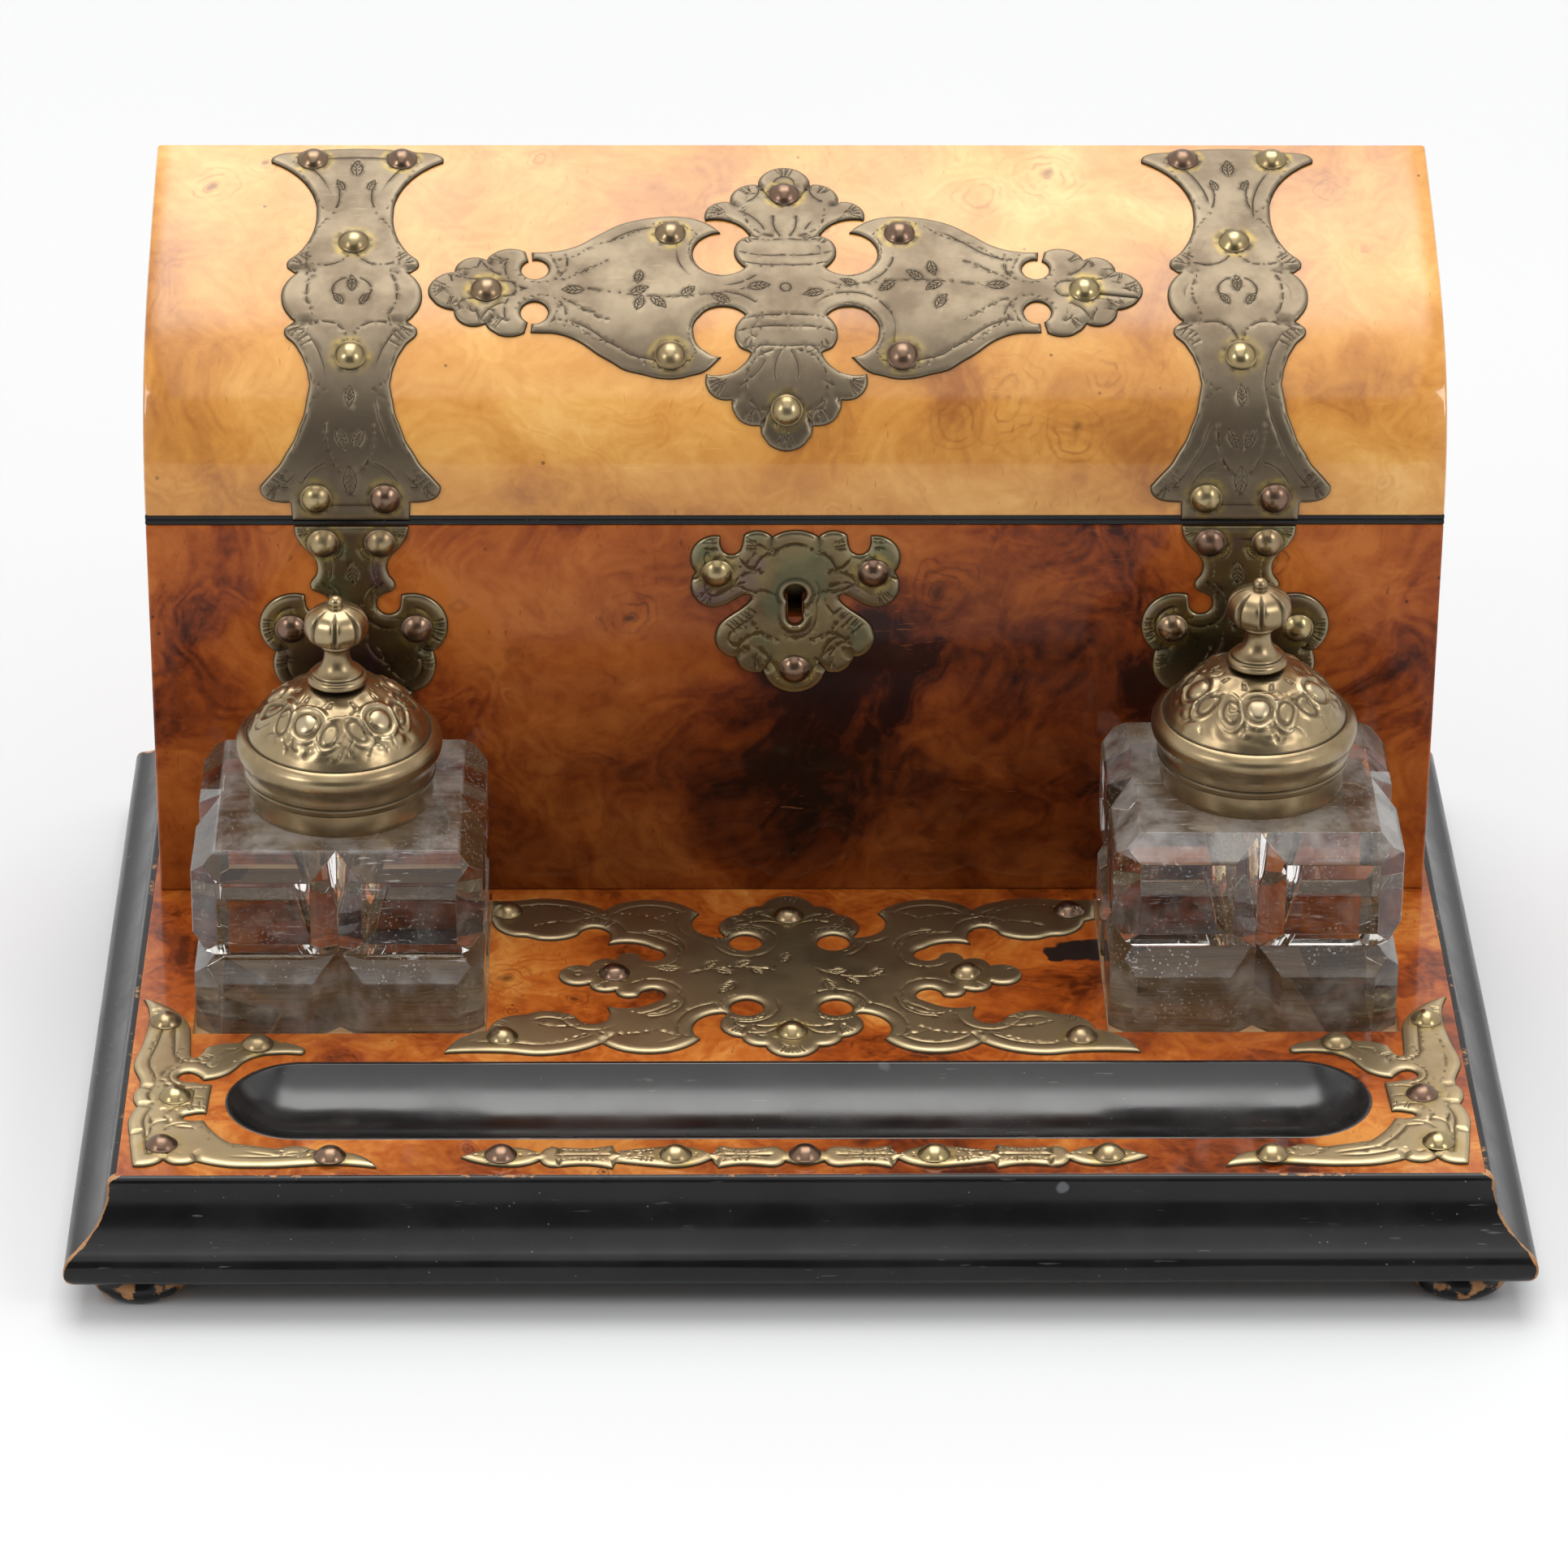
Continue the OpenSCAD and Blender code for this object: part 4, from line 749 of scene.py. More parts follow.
def inside(points, loops):
    """Even-odd test of points against loops"""
    odd = np.zeros(len(points), bool)
    x, y = points[:, 0], points[:, 1]
    for loop in loops:
        for (ax, ay), (bx, by) in zip(loop, np.roll(loop, -1, 0)):
            if ay != by:
                odd ^= ((ay > y) != (by > y)) & (x < (bx - ax) * (y - ay) / (by - ay) + ax)
    return odd


def tree_of(points):
    tree = kdtree.KDTree(len(points))
    for i, p in enumerate(points):
        tree.insert((p[0], p[1], 0), i)
    tree.balance()
    return tree


def gaps(tree, points):
    return np.array([tree.find((p[0], p[1], 0))[2] for p in points])


def dense(line, step=0.12):
    line = np.asarray(line, float)
    out = [line[:1]]
    for a, b in zip(line, line[1:]):
        n = max(1, math.ceil(np.hypot(*(b - a)) / step))
        out.append(a + (b - a) * np.arange(1, n + 1)[:, None] / n)
    return np.concatenate(out)


def triangulate(points, rings):
    """Triangles of the region inside rings, which are the first points, with the rest as free points"""
    edges, at = [], 0
    for ring in rings:
        n = len(ring)
        edges += [(at + i, at + (i + 1) % n) for i in range(n)]
        at += n
    got = geometry.delaunay_2d_cdt([Vector(p) for p in points], edges, [], 0, 1e-5, False)
    flat = np.array([tuple(v) for v in got[0]])
    tris = np.array([f for f in got[2] if len(f) == 3])
    tris = tris[inside(flat[tris].mean(1), rings)]
    return flat, tris


class Stroke:
    """A line cut by a graver: its points and half width in mm, thinner towards its ends"""

    def __init__(self, line, width=0.18):
        self.line, self.width = np.asarray(line, float), width


def bow(a, b, sag=0.0, n=9):
    """Points from a to b along an arc that swells to the left by sag times its length"""
    a, b = np.array(a, float), np.array(b, float)
    t = np.linspace(0, 1, n)[:, None]
    side = np.array([-(b - a)[1], (b - a)[0]])
    return a + (b - a) * t + side * sag * 4 * t * (1 - t)


def ring_arc(x, y, r, a0, a1, n=14):
    a = np.radians(np.linspace(a0, a1, n))
    return np.stack([x + r * np.cos(a), y + r * np.sin(a)], -1)


def bowed(ax, ay, bx, by, sag, width=0.18):
    return Stroke(bow((ax, ay), (bx, by), sag), width)


def ringed(x, y, r, a0, a1, width=0.18):
    return Stroke(ring_arc(x, y, r, a0, a1), width)


def leaf(x, y, angle, length=6.0, fat=0.22):
    """A small engraved leaf: two edges, a rib and three nicks"""
    a = math.radians(angle)
    d = np.array([math.cos(a), math.sin(a)])
    side = np.array([-d[1], d[0]])
    p = np.array([x, y])
    out = [Stroke(bow(p, p + d * length, fat), 0.15), Stroke(bow(p, p + d * length, -fat), 0.15),
        Stroke(bow(p, p + d * length * 0.8, 0.02), 0.14)]
    for k in (0.3, 0.48, 0.66):
        out.append(Stroke(bow(p + d * length * k, p + d * length * (k + 0.16) + side * fat * length * 0.62, 0,
            4), 0.12))
        out.append(Stroke(bow(p + d * length * k, p + d * length * (k + 0.16) - side * fat * length * 0.62, 0,
            4), 0.12))
    return out


def vine(a, b, sag, leaves):
    """A bowed stem with leaves, each (share along it, side, length)"""
    line = bow(a, b, sag, 17)
    out = [Stroke(line, 0.16)]
    for t, side, size in leaves:
        i = min(15, int(t * 16))
        d = line[i + 1] - line[i]
        angle = math.degrees(math.atan2(d[1], d[0])) + side * 38
        out += leaf(*line[i], angle, size)
    return out


def hatch_rows(rows, y_sides=(1,)):
    """Hatches (x, y, count, length) on both sides of the middle"""
    return [(s * x, t * y, n, l) for s in (-1, 1) for t in y_sides for x, y, n, l in rows]


def slit_rows(rows, y_sides=(1,)):
    """Slits (x0, y0, x1, y1, half width) on both sides of the middle"""
    return [(s * a, t * b, s * c, t * d, w) for s in (-1, 1) for t in y_sides for a, b, c, d, w in rows]


def leaves(*rows):
    return [stroke for row in rows for stroke in leaf(*row)]


def mirrored(strokes, x=False, y=False):
    flip = np.array([-1 if x else 1, -1 if y else 1])
    return strokes + [Stroke(s.line * flip, s.width) for s in strokes]


LEAST_LOOP = 20.0
RIM_STEP, GRID_STEP = 0.62, 1.15
EDGE_H = 0.38


def plate(node, on, strokes, hatches, slits, seed, at=(0, 0), contour=3.6, roll=1.7, cuts=(), extra=None):
    """A plate with rolled edges and engraving in place of its CAD node. on says what it is on:
    (body, function to flat, function from flat, material, nails). strokes, hatches and slits are
    about at. A hatch is (x, y, count, length), run in from the nearest edge."""
    body, flat, point, material, nails = on
    rng = random.Random(seed)
    loops = [l for l in outline_loops(node, flat) if abs(loop_area(l)) > LEAST_LOOP]
    if cuts:
        loops = [max(loops, key=lambda l: abs(loop_area(l)))] + [np.array(c)[::-1] for c in cuts]
    rings = [smooth_loop(l, RIM_STEP) for l in loops]
    rings = [r if (loop_area(r) > 0) == (i == int(np.argmax([abs(loop_area(q)) for q in rings]))) else r[::-1]
        for i, r in enumerate(rings)]
    rim = np.concatenate([dense(np.vstack([r, r[:1]])) for r in rings])
    rim_tree = tree_of(rim)
    edge = np.concatenate(rings)
    inward = np.concatenate(
        [np.stack([-(np.roll(r, -1, 0) - np.roll(r, 1, 0))[:, 1], (np.roll(r, -1, 0) - np.roll(r, 1, 0))[:, 0]],
        -1) for r in rings])
    inward /= np.maximum(np.hypot(*inward.T), 1e-9)[:, None]
    free = []
    for d in (0.28, 0.65, 1.15, 1.8, 2.6, contour - 0.18, contour, contour + 0.18):
        p = edge + inward * d
        p = p[inside(p, rings)]
        free.append(p[gaps(rim_tree, p) > 0.94 * d])
    # Engraving
    cuts_at, halves = [], []
    work = [Stroke(s.line + np.array(at), s.width) for s in strokes]
    edge_tree = tree_of(edge)
    for x, y, count, length in hatches:
        i = edge_tree.find((x + at[0], y + at[1], 0))[1]
        for k in range(count):
            j = (i + int(round((k - (count - 1) / 2) * 0.95 / RIM_STEP))) % len(edge)
            a = edge[j] + inward[j] * 0.9
            b = edge[j] + inward[j] * (0.9 + length * rng.uniform(0.75, 1.15)) + np.array([rng.uniform(-.3, .3),
                0.2])
            work.append(Stroke(bow(a, b, 0.03, 5), 0.16))
    for s in work:
        ok = inside(s.line, rings) & (gaps(rim_tree, s.line) > 0.5)
        line = s.line[ok]
        if len(line) < 3:
            continue
        d = np.gradient(line, axis=0)
        d /= np.maximum(np.hypot(*d.T), 1e-9)[:, None]
        t = np.linspace(0, 1, len(line))
        half = s.width * (0.35 + 0.65 * np.sin(np.pi * np.clip(t, 0.04, 0.96)) ** 0.5)
        side = np.stack([-d[:, 1], d[:, 0]], -1) * half[:, None]
        free += [line, line + side, line - side]
        fine = dense(line, 0.1)
        cuts_at.append(fine)
        near = np.interp(np.linspace(0, 1, len(fine)), t, half)
        halves.append(near)
    low, high = edge.min(0), edge.max(0)
    gx, gy = np.meshgrid(np.arange(low[0], high[0], GRID_STEP), np.arange(low[1], high[1], GRID_STEP * 0.866))
    gx[::2] += GRID_STEP / 2
    grid = np.stack([gx.ravel(), gy.ravel()],
        -1) + np.array([[rng.uniform(-.2, .2), rng.uniform(-.2, .2)] for _ in range(gx.size)])
    grid = grid[inside(grid, rings)]
    near = np.concatenate([edge, *free])
    grid = grid[gaps(tree_of(near), grid) > 0.5]
    points = np.concatenate([edge, *free, grid])
    flat_points, tris = triangulate(points, rings)
    far = gaps(rim_tree, flat_points)
    rolled = np.clip(far / roll, 0, 1)
    h = EDGE_H + (1.02 * PLATE_T - EDGE_H) * np.sqrt(1 - (1 - rolled) ** 2)
    h += 0.05 * np.array([noise.noise((p[0] / 9, p[1] / 9, seed)) for p in flat_points]) * rolled
    cut = np.zeros(len(flat_points))
    # The contour line parallel to the edge comes and goes
    come = np.array([noise.noise((p[0] / 14, p[1] / 14, seed + 5.5)) for p in flat_points])
    cut = np.maximum(cut, np.clip(1 - np.abs(far - contour) / 0.18, 0, 1) * np.clip(come * 6 + 0.9, 0, 1))
    if cuts_at:
        fine, half = np.concatenate(cuts_at), np.concatenate(halves)
        tree = tree_of(fine)
        for i, p in enumerate(flat_points):
            _, j, gap = tree.find((p[0], p[1], 0))
            if gap < half[j]:
                cut[i] = max(cut[i], 1 - gap / half[j])
    h -= 0.12 * cut
    # Deep carved slits and valleys: (x0, y0, x1, y1, half width)
    for x0, y0, x1, y1, wide in slits:
        line = dense(bow((x0 + at[0], y0 + at[1]), (x1 + at[0], y1 + at[1]), 0, 9))
        gap = gaps(tree_of(line), flat_points)
        groove = np.clip(1 - gap / wide, 0, 1)
        h -= 0.75 * groove * np.minimum(h, 1)
        cut = np.maximum(cut, groove ** 2)
    # A stain and a dark line round each nail
    gap = gaps(tree_of(np.array(nails)), flat_points)
    worn = np.array([noise.noise((p[0] / 3, p[1] / 3, seed + 2)) for p in flat_points])
    stain = np.clip(1 - np.abs(gap - 4.4) / 1.2, 0, 1) * np.clip(0.6 + 1.2 * worn, 0, 1)
    cut = np.maximum(cut, np.clip(1 - np.abs(gap - 3.9) / 0.35, 0, 1) * 0.8)
    if extra:
        h, cut = extra(flat_points, h, cut)
    rubbed = np.clip(1 - far / (roll * 1.15), 0, 1) * np.clip((far - 0.1) / 0.25, 0, 1)
    cut = np.maximum(cut, np.clip(1 - far / 0.12, 0, 1))
    # Walls and underside
    top = point(flat_points[:, 0], flat_points[:, 1], h)
    foot_flat, foot_tris = triangulate(edge, rings)
    n = len(top)
    verts = np.concatenate([top, point(foot_flat[:, 0], foot_flat[:, 1], np.full(len(foot_flat), -0.02))])
    faces = [tuple(t) for t in tris] + [tuple(n + i for i in t[::-1]) for t in foot_tris]
    start = 0
    for r in rings:
        for i in range(len(r)):
            a, b = start + i, start + (i + 1) % len(r)
            faces.append((n + a, n + b, b, a))
        start += len(r)
    pad = np.zeros(len(foot_flat))
    return make(node + "_plate", verts, faces, body, material, [node],
        {"cut": np.concatenate([cut, pad + 1]), "rim": np.concatenate([rubbed, pad]),
        "stain": np.concatenate([stain, pad])}, smooth=50)


# ---- Nails --------------------------------------------------------------------------------------
NAIL_R, NAIL_H = 3.7, 2.2


def nail_profile():
    """Dome of a nail with a turned-in foot, down to where it meets the plate"""
    dome_r = (NAIL_R ** 2 + NAIL_H ** 2) / (2 * NAIL_H)
    half = math.asin(NAIL_R / dome_r)
    rows = [(0.0, NAIL_H)]
    for k in range(1, 12):
        a = half * k / 12
        rows.append((dome_r * math.sin(a), dome_r * (math.cos(a) - 1) + NAIL_H + 0.06
            * math.sin(math.pi * k / 12) - 0.12 * k / 12))
    return rows + [(NAIL_R, 0.16), (NAIL_R - 0.05, 0.0), (NAIL_R - 0.5, -0.12), (0.0, -0.12)]


def nails(node, body, flat, point, seed):
    """All nails of one CAD node: each dome a little tilted, dented and differently worn"""
    rng = random.Random(seed)
    verts, faces, rim, tone, cut = [], [], [], [], []
    spots = flat(np.array(islands(node)))
    for u, v, _ in sorted(spots.tolist()):
        profile, turn = nail_profile(), rng.uniform(0, 6)
        lean = np.array([rng.uniform(-0.035, 0.035), rng.uniform(-0.035, 0.035)])
        shade = rng.random()
        origin = point(u, v, PLATE_T)
        east = point(u + 0.5, v, PLATE_T) - origin
        east /= np.linalg.norm(east)
        up = point(u, v, PLATE_T + 0.5) - origin
        up /= np.linalg.norm(up)
        north = np.cross(up, east)
        local, local_faces = lathe(profile, 40)
        base = len(verts)
        for x, y, z in local:
            bump = 0.07 * noise.noise((x / 2.2 + 9 * turn, y / 2.2, z)) + lean @ (x, y) * (z > 0)
            verts.append(origin + east * x + north * y + up * min(NAIL_H, max(z + bump * (z > 0.3), -0.15)))
            rim.append(min(1, max(0, (z - 1.2) / 1.0)))
            cut.append(min(1, max(0, (0.35 - z) / 0.35)) * 0.8)
            tone.append(shade)
        faces += [tuple(base + i for i in f) for f in local_faces]
    mesh = solid(node, verts, faces, {"rim": rim, "tone": tone, "cut": cut}, True, False)
    place(node + "_domes", mesh, body, nail_brass, [node], 60)
    return [(u, v) for u, v, _ in spots]


def ground(node, body, flat, point, material, seed):
    """What the plates of one face are on, with its nails made"""
    return body, flat, point, material, nails(node, body, flat, point, seed)


ON_DECK = ground("deck_nails", "stand", deck_flat, deck_point, plate_brass, 3)
ON_FRONT = ground("body_nails", "stand", wall_flat, wall_point, front_brass, 5)
ON_LID = ground("lid_nails", "lid", lid_flat, lid_point, lid_brass_patina_and_shade, 8)


# ---- Plates on the deck -------------------------------------------------------------------------
def middle(node):
    low, high = box_mm(node)
    return (low + high) / 2


cart = middle("deck_cartouche")
cart_lines = []
for side in (-1, 1):
    quarter = [ringed(10.4, 15.2, 5.6, -60, 150), ringed(10.4, 15.2, 6.6, -20, 120, 0.2),
        ringed(33.2, 11.6, 7.4, 60, 200), ringed(33.2, 11.6, 8.4, 90, 180, 0.2), bowed(16, 26, 30, 27, 0.18),
        bowed(30, 25, 46, 27, 0.12), bowed(48, 28, 66, 30.5, 0.16), bowed(48, 23.6, 60, 22.6, 0.12),
        bowed(3, 24, 10, 27.5, 0.22), bowed(0.6, 22, 9, 24, 0.18)]
    for s in quarter:
        cart_lines += [Stroke(s.line * (side, 1), s.width), Stroke(s.line * (side, -1), s.width)]
cart_lines += vine((-24, 0), (-4, 1.5), 0.1, ((0.2, 1, 5), (0.35, -1, 5), (0.6, 1, 4.5), (0.8, -1, 4)))
cart_lines += vine((5, 3), (22, -1), -0.14, ((0.3, 1, 4.5), (0.5, -1, 5), (0.85, 1, 5)))
cart_lines += leaves((-13, -4, 235, 6), (8, -3, 295, 6), (-2, 5, 70, 5), (-26, 2, 175, 5.5))
plate("deck_cartouche", ON_DECK, at=cart[:2], strokes=cart_lines, hatches=((0, 37, 6, 2.6), (0, -37, 7, 2.6),
    (-12.5, 27, 5, 2.2), (12.5, 27, 5, 2.2), (-13, -27, 5, 2.6), (13, -27, 5, 2.6), (-44, 26, 6, 2.6),
    (46, 27, 5, 2.6), (-52, -19, 6, 2.4), (52, -19, 6, 2.4), (-52, 3, 5, 2.4), (52, 3, 4, 2.2),
    (-44, -5, 4, 2.0), (44, -5, 4, 2.0), (-66, -24, 5, 2.2), (64, -22, 5, 2.2), (-14, 17, 4, 2.0),
    (14, 18, 4, 2.0)), slits=slit_rows([(43.9, 31.2, 42.7, 28.6, 0.7)], (-1, 1)), seed=2)


def corner_lines(side):
    """Engraving of a corner mount, given from the corner of the deck inward"""
    x0, y0 = side * DECK_W / 2, -DECK_D / 2
    lines = [bowed(6.0, 24, 5.6, 14, 0.1), bowed(9, 27, 20, 14, 0.26), bowed(12, 24.5, 26, 9.6, 0.2),
        bowed(24, 10.5, 38, 7.4, 0.14), bowed(35, 9.0, 44, 7.2, -0.2, 0.2), bowed(5.8, 40, 6.2, 62, 0.07),
        ringed(14.2, 51.5, 3.6, 95, 300), bowed(17, 46, 24, 54, 0.12), bowed(24, 48, 31, 53.5, -0.1),
        ringed(14.0, 42.0, 4.6, 120, 260), bowed(7, 20, 11, 22, 0.2, 0.2), bowed(10, 18, 14, 21, 0.2, 0.2),
        bowed(12.2, 28.4, 18.6, 28.0, 0.05, 0.34), bowed(11.8, 32.0, 19, 31.8, 0.05, 0.34),
        bowed(12.2, 35.6, 19, 36.4, 0.05, 0.34)]
    return [Stroke(np.array([x0, y0]) + s.line * (-side, 1), s.width) for s in lines]


def corner_point(side, *rows):
    """Rows (x, y, ...) from the corner of the deck, moved to the deck"""
    return [(side * (DECK_W / 2 - x), y - DECK_D / 2, *rest) for x, y, *rest in rows]


for label, side in (("corner_mount_left", -1), ("corner_mount_right", 1)):
    slit_ends = corner_point(side, (10.3, 6.6), (11.2, 8.8), (17.6, 5.8), (17.6, 8.2), (1.9, 16.8), (4.4, 17.6),
        (2.9, 29.3), (5.6, 29.6), (2.8, 37.6), (5.4, 37.2))
    plate(label, ON_DECK, strokes=corner_lines(side), hatches=corner_point(side, (15, 50, 5, 2.8),
        (30, 52.2, 4, 2.0), (16.6, 26, 4, 2.4), (44, 10, 4, 1.8), (3, 70, 4, 2)),
        slits=[(*a, *b, 0.75) for a, b in zip(slit_ends[::2], slit_ends[1::2])], seed=7 + side)

strip = middle("front_strip")
strip_lines = []
for side in (-1, 1):
    for a, b, sag in (((76, 0.4), (60, 0.6), 0.05), ((55, 0), (44, 0), 0.0), ((54, 2.2), (44, 3.0), 0.1),
            ((54, -2.2), (44, -3.0), -0.1), ((42, 1.0), (22, 0.3), 0.08), ((42, -1.0), (22, -0.3), -0.08),
            ((19.6, 3.0), (9, 1.8), 0.12), ((19.6, -3.0), (9, -1.8), -0.12), ((19, 0), (8, 0), 0.0),
            ((42, 2.2), (34, 2.4), 0.1), ((42, -2.2), (34, -2.4), -0.1)):
        strip_lines.append(Stroke(bow(a, b, sag) * (side, 1), 0.22))
plate("front_strip", ON_DECK, at=strip[:2], strokes=strip_lines,
    hatches=hatch_rows([(x, 4, 3, 1.5) for x in (49, 36, 14, 70)], (-1, 1)),
    slits=slit_rows([(x, 4.4, x, 1.4, 0.6) for x in (42.6, 19.8, 55.2)], (-1, 1)), seed=11, roll=1.5,
    contour=9.0)

# ---- Plates on the casket front -----------------------------------------------------------------
KEYHOLE_R, KEYHOLE_W, KEYHOLE_L = 2.4, 3.4, 6.4
KEY_Z = 110.5
foot_a = math.degrees(math.asin(KEYHOLE_W / 2 / KEYHOLE_R))
keyhole = np.vstack([ring_arc(0, KEY_Z, KEYHOLE_R, -90 + foot_a, 270 - foot_a, 40),
    [(-KEYHOLE_W / 2, KEY_Z - KEYHOLE_L)], ring_arc(0, KEY_Z - KEYHOLE_L, 1.7, 180, 360, 10)[1:-1] * (1, 1),
    [(KEYHOLE_W / 2, KEY_Z - KEYHOLE_L)]])
key_rim = tree_of(dense(keyhole))


def raised_keyhole(points, h, cut):
    """The raised rim round the keyhole"""
    gap = gaps(key_rim, points)
    bead = np.clip(1 - np.abs(gap - 0.75) / 0.75, 0, 1)
    return h + 0.55 * np.sqrt(bead) * (gap < 1.5), np.maximum(cut, np.clip(1 - np.abs(gap - 1.75) / 0.3, 0, 1))


half_esc = [ringed(8.6, -6.4, 7.4, 60, 175), bowed(10.4, -0.6, 4.4, -12, 0.24),
    bowed(5.2, 11.2, 9.4, 6.6, 0.12), bowed(8.8, 6.2, 13.4, 11.4, -0.2), bowed(8, 6, 15, 1.0, 0.2),
    bowed(3.6, -22, 9.6, -13.6, 0.1), bowed(13.2, -14, 8, -10, -0.12), bowed(14, 3, 9, 0.5, 0.1)]
esc_lines = mirrored(half_esc, x=True) + [bowed(-5, 10.6, 5, 10.6, 0.22), bowed(8.5, -16, 12.5, -12, 0.1),
    bowed(7, -15, 10.4, -11, 0.1)]
plate("escutcheon", ON_FRONT, at=(0, KEY_Z), strokes=esc_lines,
    hatches=hatch_rows(((13.6, -5.4, 7, 3.0), (21, -1.0, 5, 2.6), (10.4, 14, 5, 2.6), (20, 12, 5, 2.4),
    (9, -18, 4, 3.2))),
    slits=slit_rows(((5.4, 15.6, 5.5, 11.6, 0.62), (7.4, -20.8, 5.2, -17.4, 0.5),
    (13.9, -17.2, 11.6, -14.6, 0.5), (24.3, 3.6, 22, 4.4, 0.5))), cuts=[keyhole], seed=21, contour=3.3,
    extra=raised_keyhole)

for label, side in (("body_strap_left", -1), ("body_strap_right", 1)):
    low, high = box_mm(label)
    top_at = ((low[0] + high[0]) / 2, high[2])
    half = [bowed(9.4, -2, 5.8, -13, -0.1), ringed(9.4, -19.6, 5.2, 20, 200), bowed(5, -15, 4, -26, 0.1),
        bowed(8, -36, 3, -28, 0.16), bowed(12.5, -41, 6, -32, 0.1), bowed(4, -49, 9, -42, 0.1),
        bowed(17, -31, 10, -24, -0.2)]
    plate(label, ON_FRONT, at=top_at, strokes=mirrored(half, x=True) + leaves((0, -9, 270, 6), (2, -5, 300, 4),
        (-2, -5, 240, 4), (0, -20, 270, 7)),
        hatches=hatch_rows([(*row, 2.6) for row in ((19, -27, 7), (18, -35, 5), (12, -2, 4), (13, -45, 4),
        (6, -49, 4))]),
        slits=slit_rows(((18.6, -33.2, 16, -32.4, 0.5), (13.6, -44.2, 11.6, -42.2, 0.5),
        (7.4, -46.8, 6, -44, 0.5))), seed=31 + side, contour=3.4)

# ---- Plates on the lid --------------------------------------------------------------------------
for label, side in (("lid_strap_left", -1), ("lid_strap_right", 1)):
    x0 = middle(label)[0]
    half = [bowed(16.5, 8.0, 5.4, 30, -0.17), bowed(5.4, 30, 11.4, 42, -0.2), bowed(10.6, 62, 5.0, 82, -0.12),
        bowed(5.0, 82, 15, 100.5, -0.16), bowed(9, 49.5, 9.4, 61, -0.12), bowed(0.6, 42.4, 9.4, 46.4, 0.26),
        bowed(0.6, 68.6, 9.4, 65, -0.22), bowed(1.4, 10, 5.5, 22, -0.12, 0.2), bowed(11, 8.4, 6, 13, -0.1, 0.2),
        bowed(2.2, 52, 4.6, 56.5, -0.1, 0.2), bowed(2.0, 60, 4.4, 57.5, 0.1, 0.2),
        bowed(4.4, 84, 4.4, 92, 0.08, 0.2)]
    plate(label, ON_LID, at=(x0, 0), strokes=mirrored(half, x=True) + leaves((0, 12.5, 270, 7), (3, 21, 245, 5),
        (-3, 21, 295, 5), (0, 56, 90, 5), (2, 52, 60, 4), (-2, 52, 120, 4), (0, 60, 270, 4), (0, 95, 90, 6),
        (-3, 90, 110, 4), (3, 90, 70, 4), (0, 26, 90, 5)),
        hatches=hatch_rows(((14.8, 42, 7, 3.4), (14.6, 68, 5, 2.6), (17, 9, 5, 2.6), (19, 4, 4, 2.4))),
        slits=slit_rows(((14.4, 46.8, 9.8, 47.4, 1.05), (14.4, 63.6, 9.8, 63.0, 1.05))), seed=41 + side,
        contour=4.0)

quarter = [bowed(53, 4, 58, 14, 0.1), ringed(57.3, 8.2, 6.2, 120, 340), bowed(58, 15, 44, 20.6, -0.05),
    bowed(56, 9, 45, 14.4, 0.12), bowed(45, 14.4, 33, 20.6, 0.08), ringed(14.2, 12.6, 7.4, -110, 60),
    ringed(14.2, 12.6, 8.4, -90, 30, 0.2), bowed(21, 18, 31, 21.6, 0.16), bowed(9.9, 8.7, 0, 7.7, 0.04, 0.3),
    bowed(10.7, 12, 0, 10.9, 0.05, 0.3), bowed(10.2, 16.8, 0, 16.4, 0.06, 0.3), bowed(1.2, 17.4, 2.6, 24, -0.1),
    bowed(3.4, 17.4, 9.4, 26, -0.2), bowed(5.6, 17.6, 14, 24.4, -0.24), bowed(0.4, 27.6, 5.4, 35, -0.1, 0.2),
    bowed(6, 34.6, 8.6, 29.4, -0.16), bowed(78, 4.6, 70, 3.2, 0.1), bowed(71, 8.6, 66.8, 4.4, 0.1),
    bowed(66, 2.4, 63, 0, -0.2)]
cartouche_lines = mirrored(mirrored(quarter, x=True), y=True)
cartouche_lines += vine((-46, 0), (-8, 0.5), -0.07, ((0.25, 1, 5), (0.4, -1, 5), (0.6, 1, 4.5), (0.8, -1, 5)))
cartouche_lines += vine((46, 1), (10, -0.5), -0.07, ((0.25, 1, 5), (0.42, -1, 5), (0.6, 1, 5), (0.82, -1, 4)))
cartouche_lines += leaves((-47, -0.5, 178, 5.5), (47, 1.0, 2, 5.5), (-34, 6, 260, 4.6), (-35, -6.4, 70, 4.6),
    (34, 9, 280, 5), (35, -6, 60, 5))
cartouche_lines += leaves((-9, 0.4, 10, 5.5), (9, -0.8, 190, 5)) + [ringed(0, 0.4, 1.3, -60, 250, 0.2)]
cartouche_lines += [Stroke(bow((s * (42 + 3 * k), (9 - 2 * k) * t), (s * (46 + 3 * k), (7 - 2 * k) * t), 0.06,
    4), 0.18) for k in range(3) for s in (-1, 1) for t in (-1, 1)]
low, high = box_mm("lid_cartouche")
plate("lid_cartouche", ON_LID, at=((low[0] + high[0]) / 2, 56.8), strokes=cartouche_lines,
    hatches=hatch_rows(((78, 6, 4, 2.6), (70, 10.4, 5, 2.6), (16.5, 26, 7, 3.0), (9, 33, 4, 2.4),
    (9.4, 17.4, 4, 1.6)), (-1, 1)) + [(-84, 0, 7, 3.4), (84, 0, 7, 3.4), (0, 42.4, 6, 3.4), (0, -42.4, 6, 3.4)],
    slits=slit_rows([(*row, 0.55) for row in ((77.6, 6.2, 74.6, 4.6), (70.2, 10.2, 68.4, 7.6),
    (12.8, 30, 10.8, 27.4), (6.2, 36.4, 5.2, 33.4))], (-1, 1)), seed=51, contour=3.8)


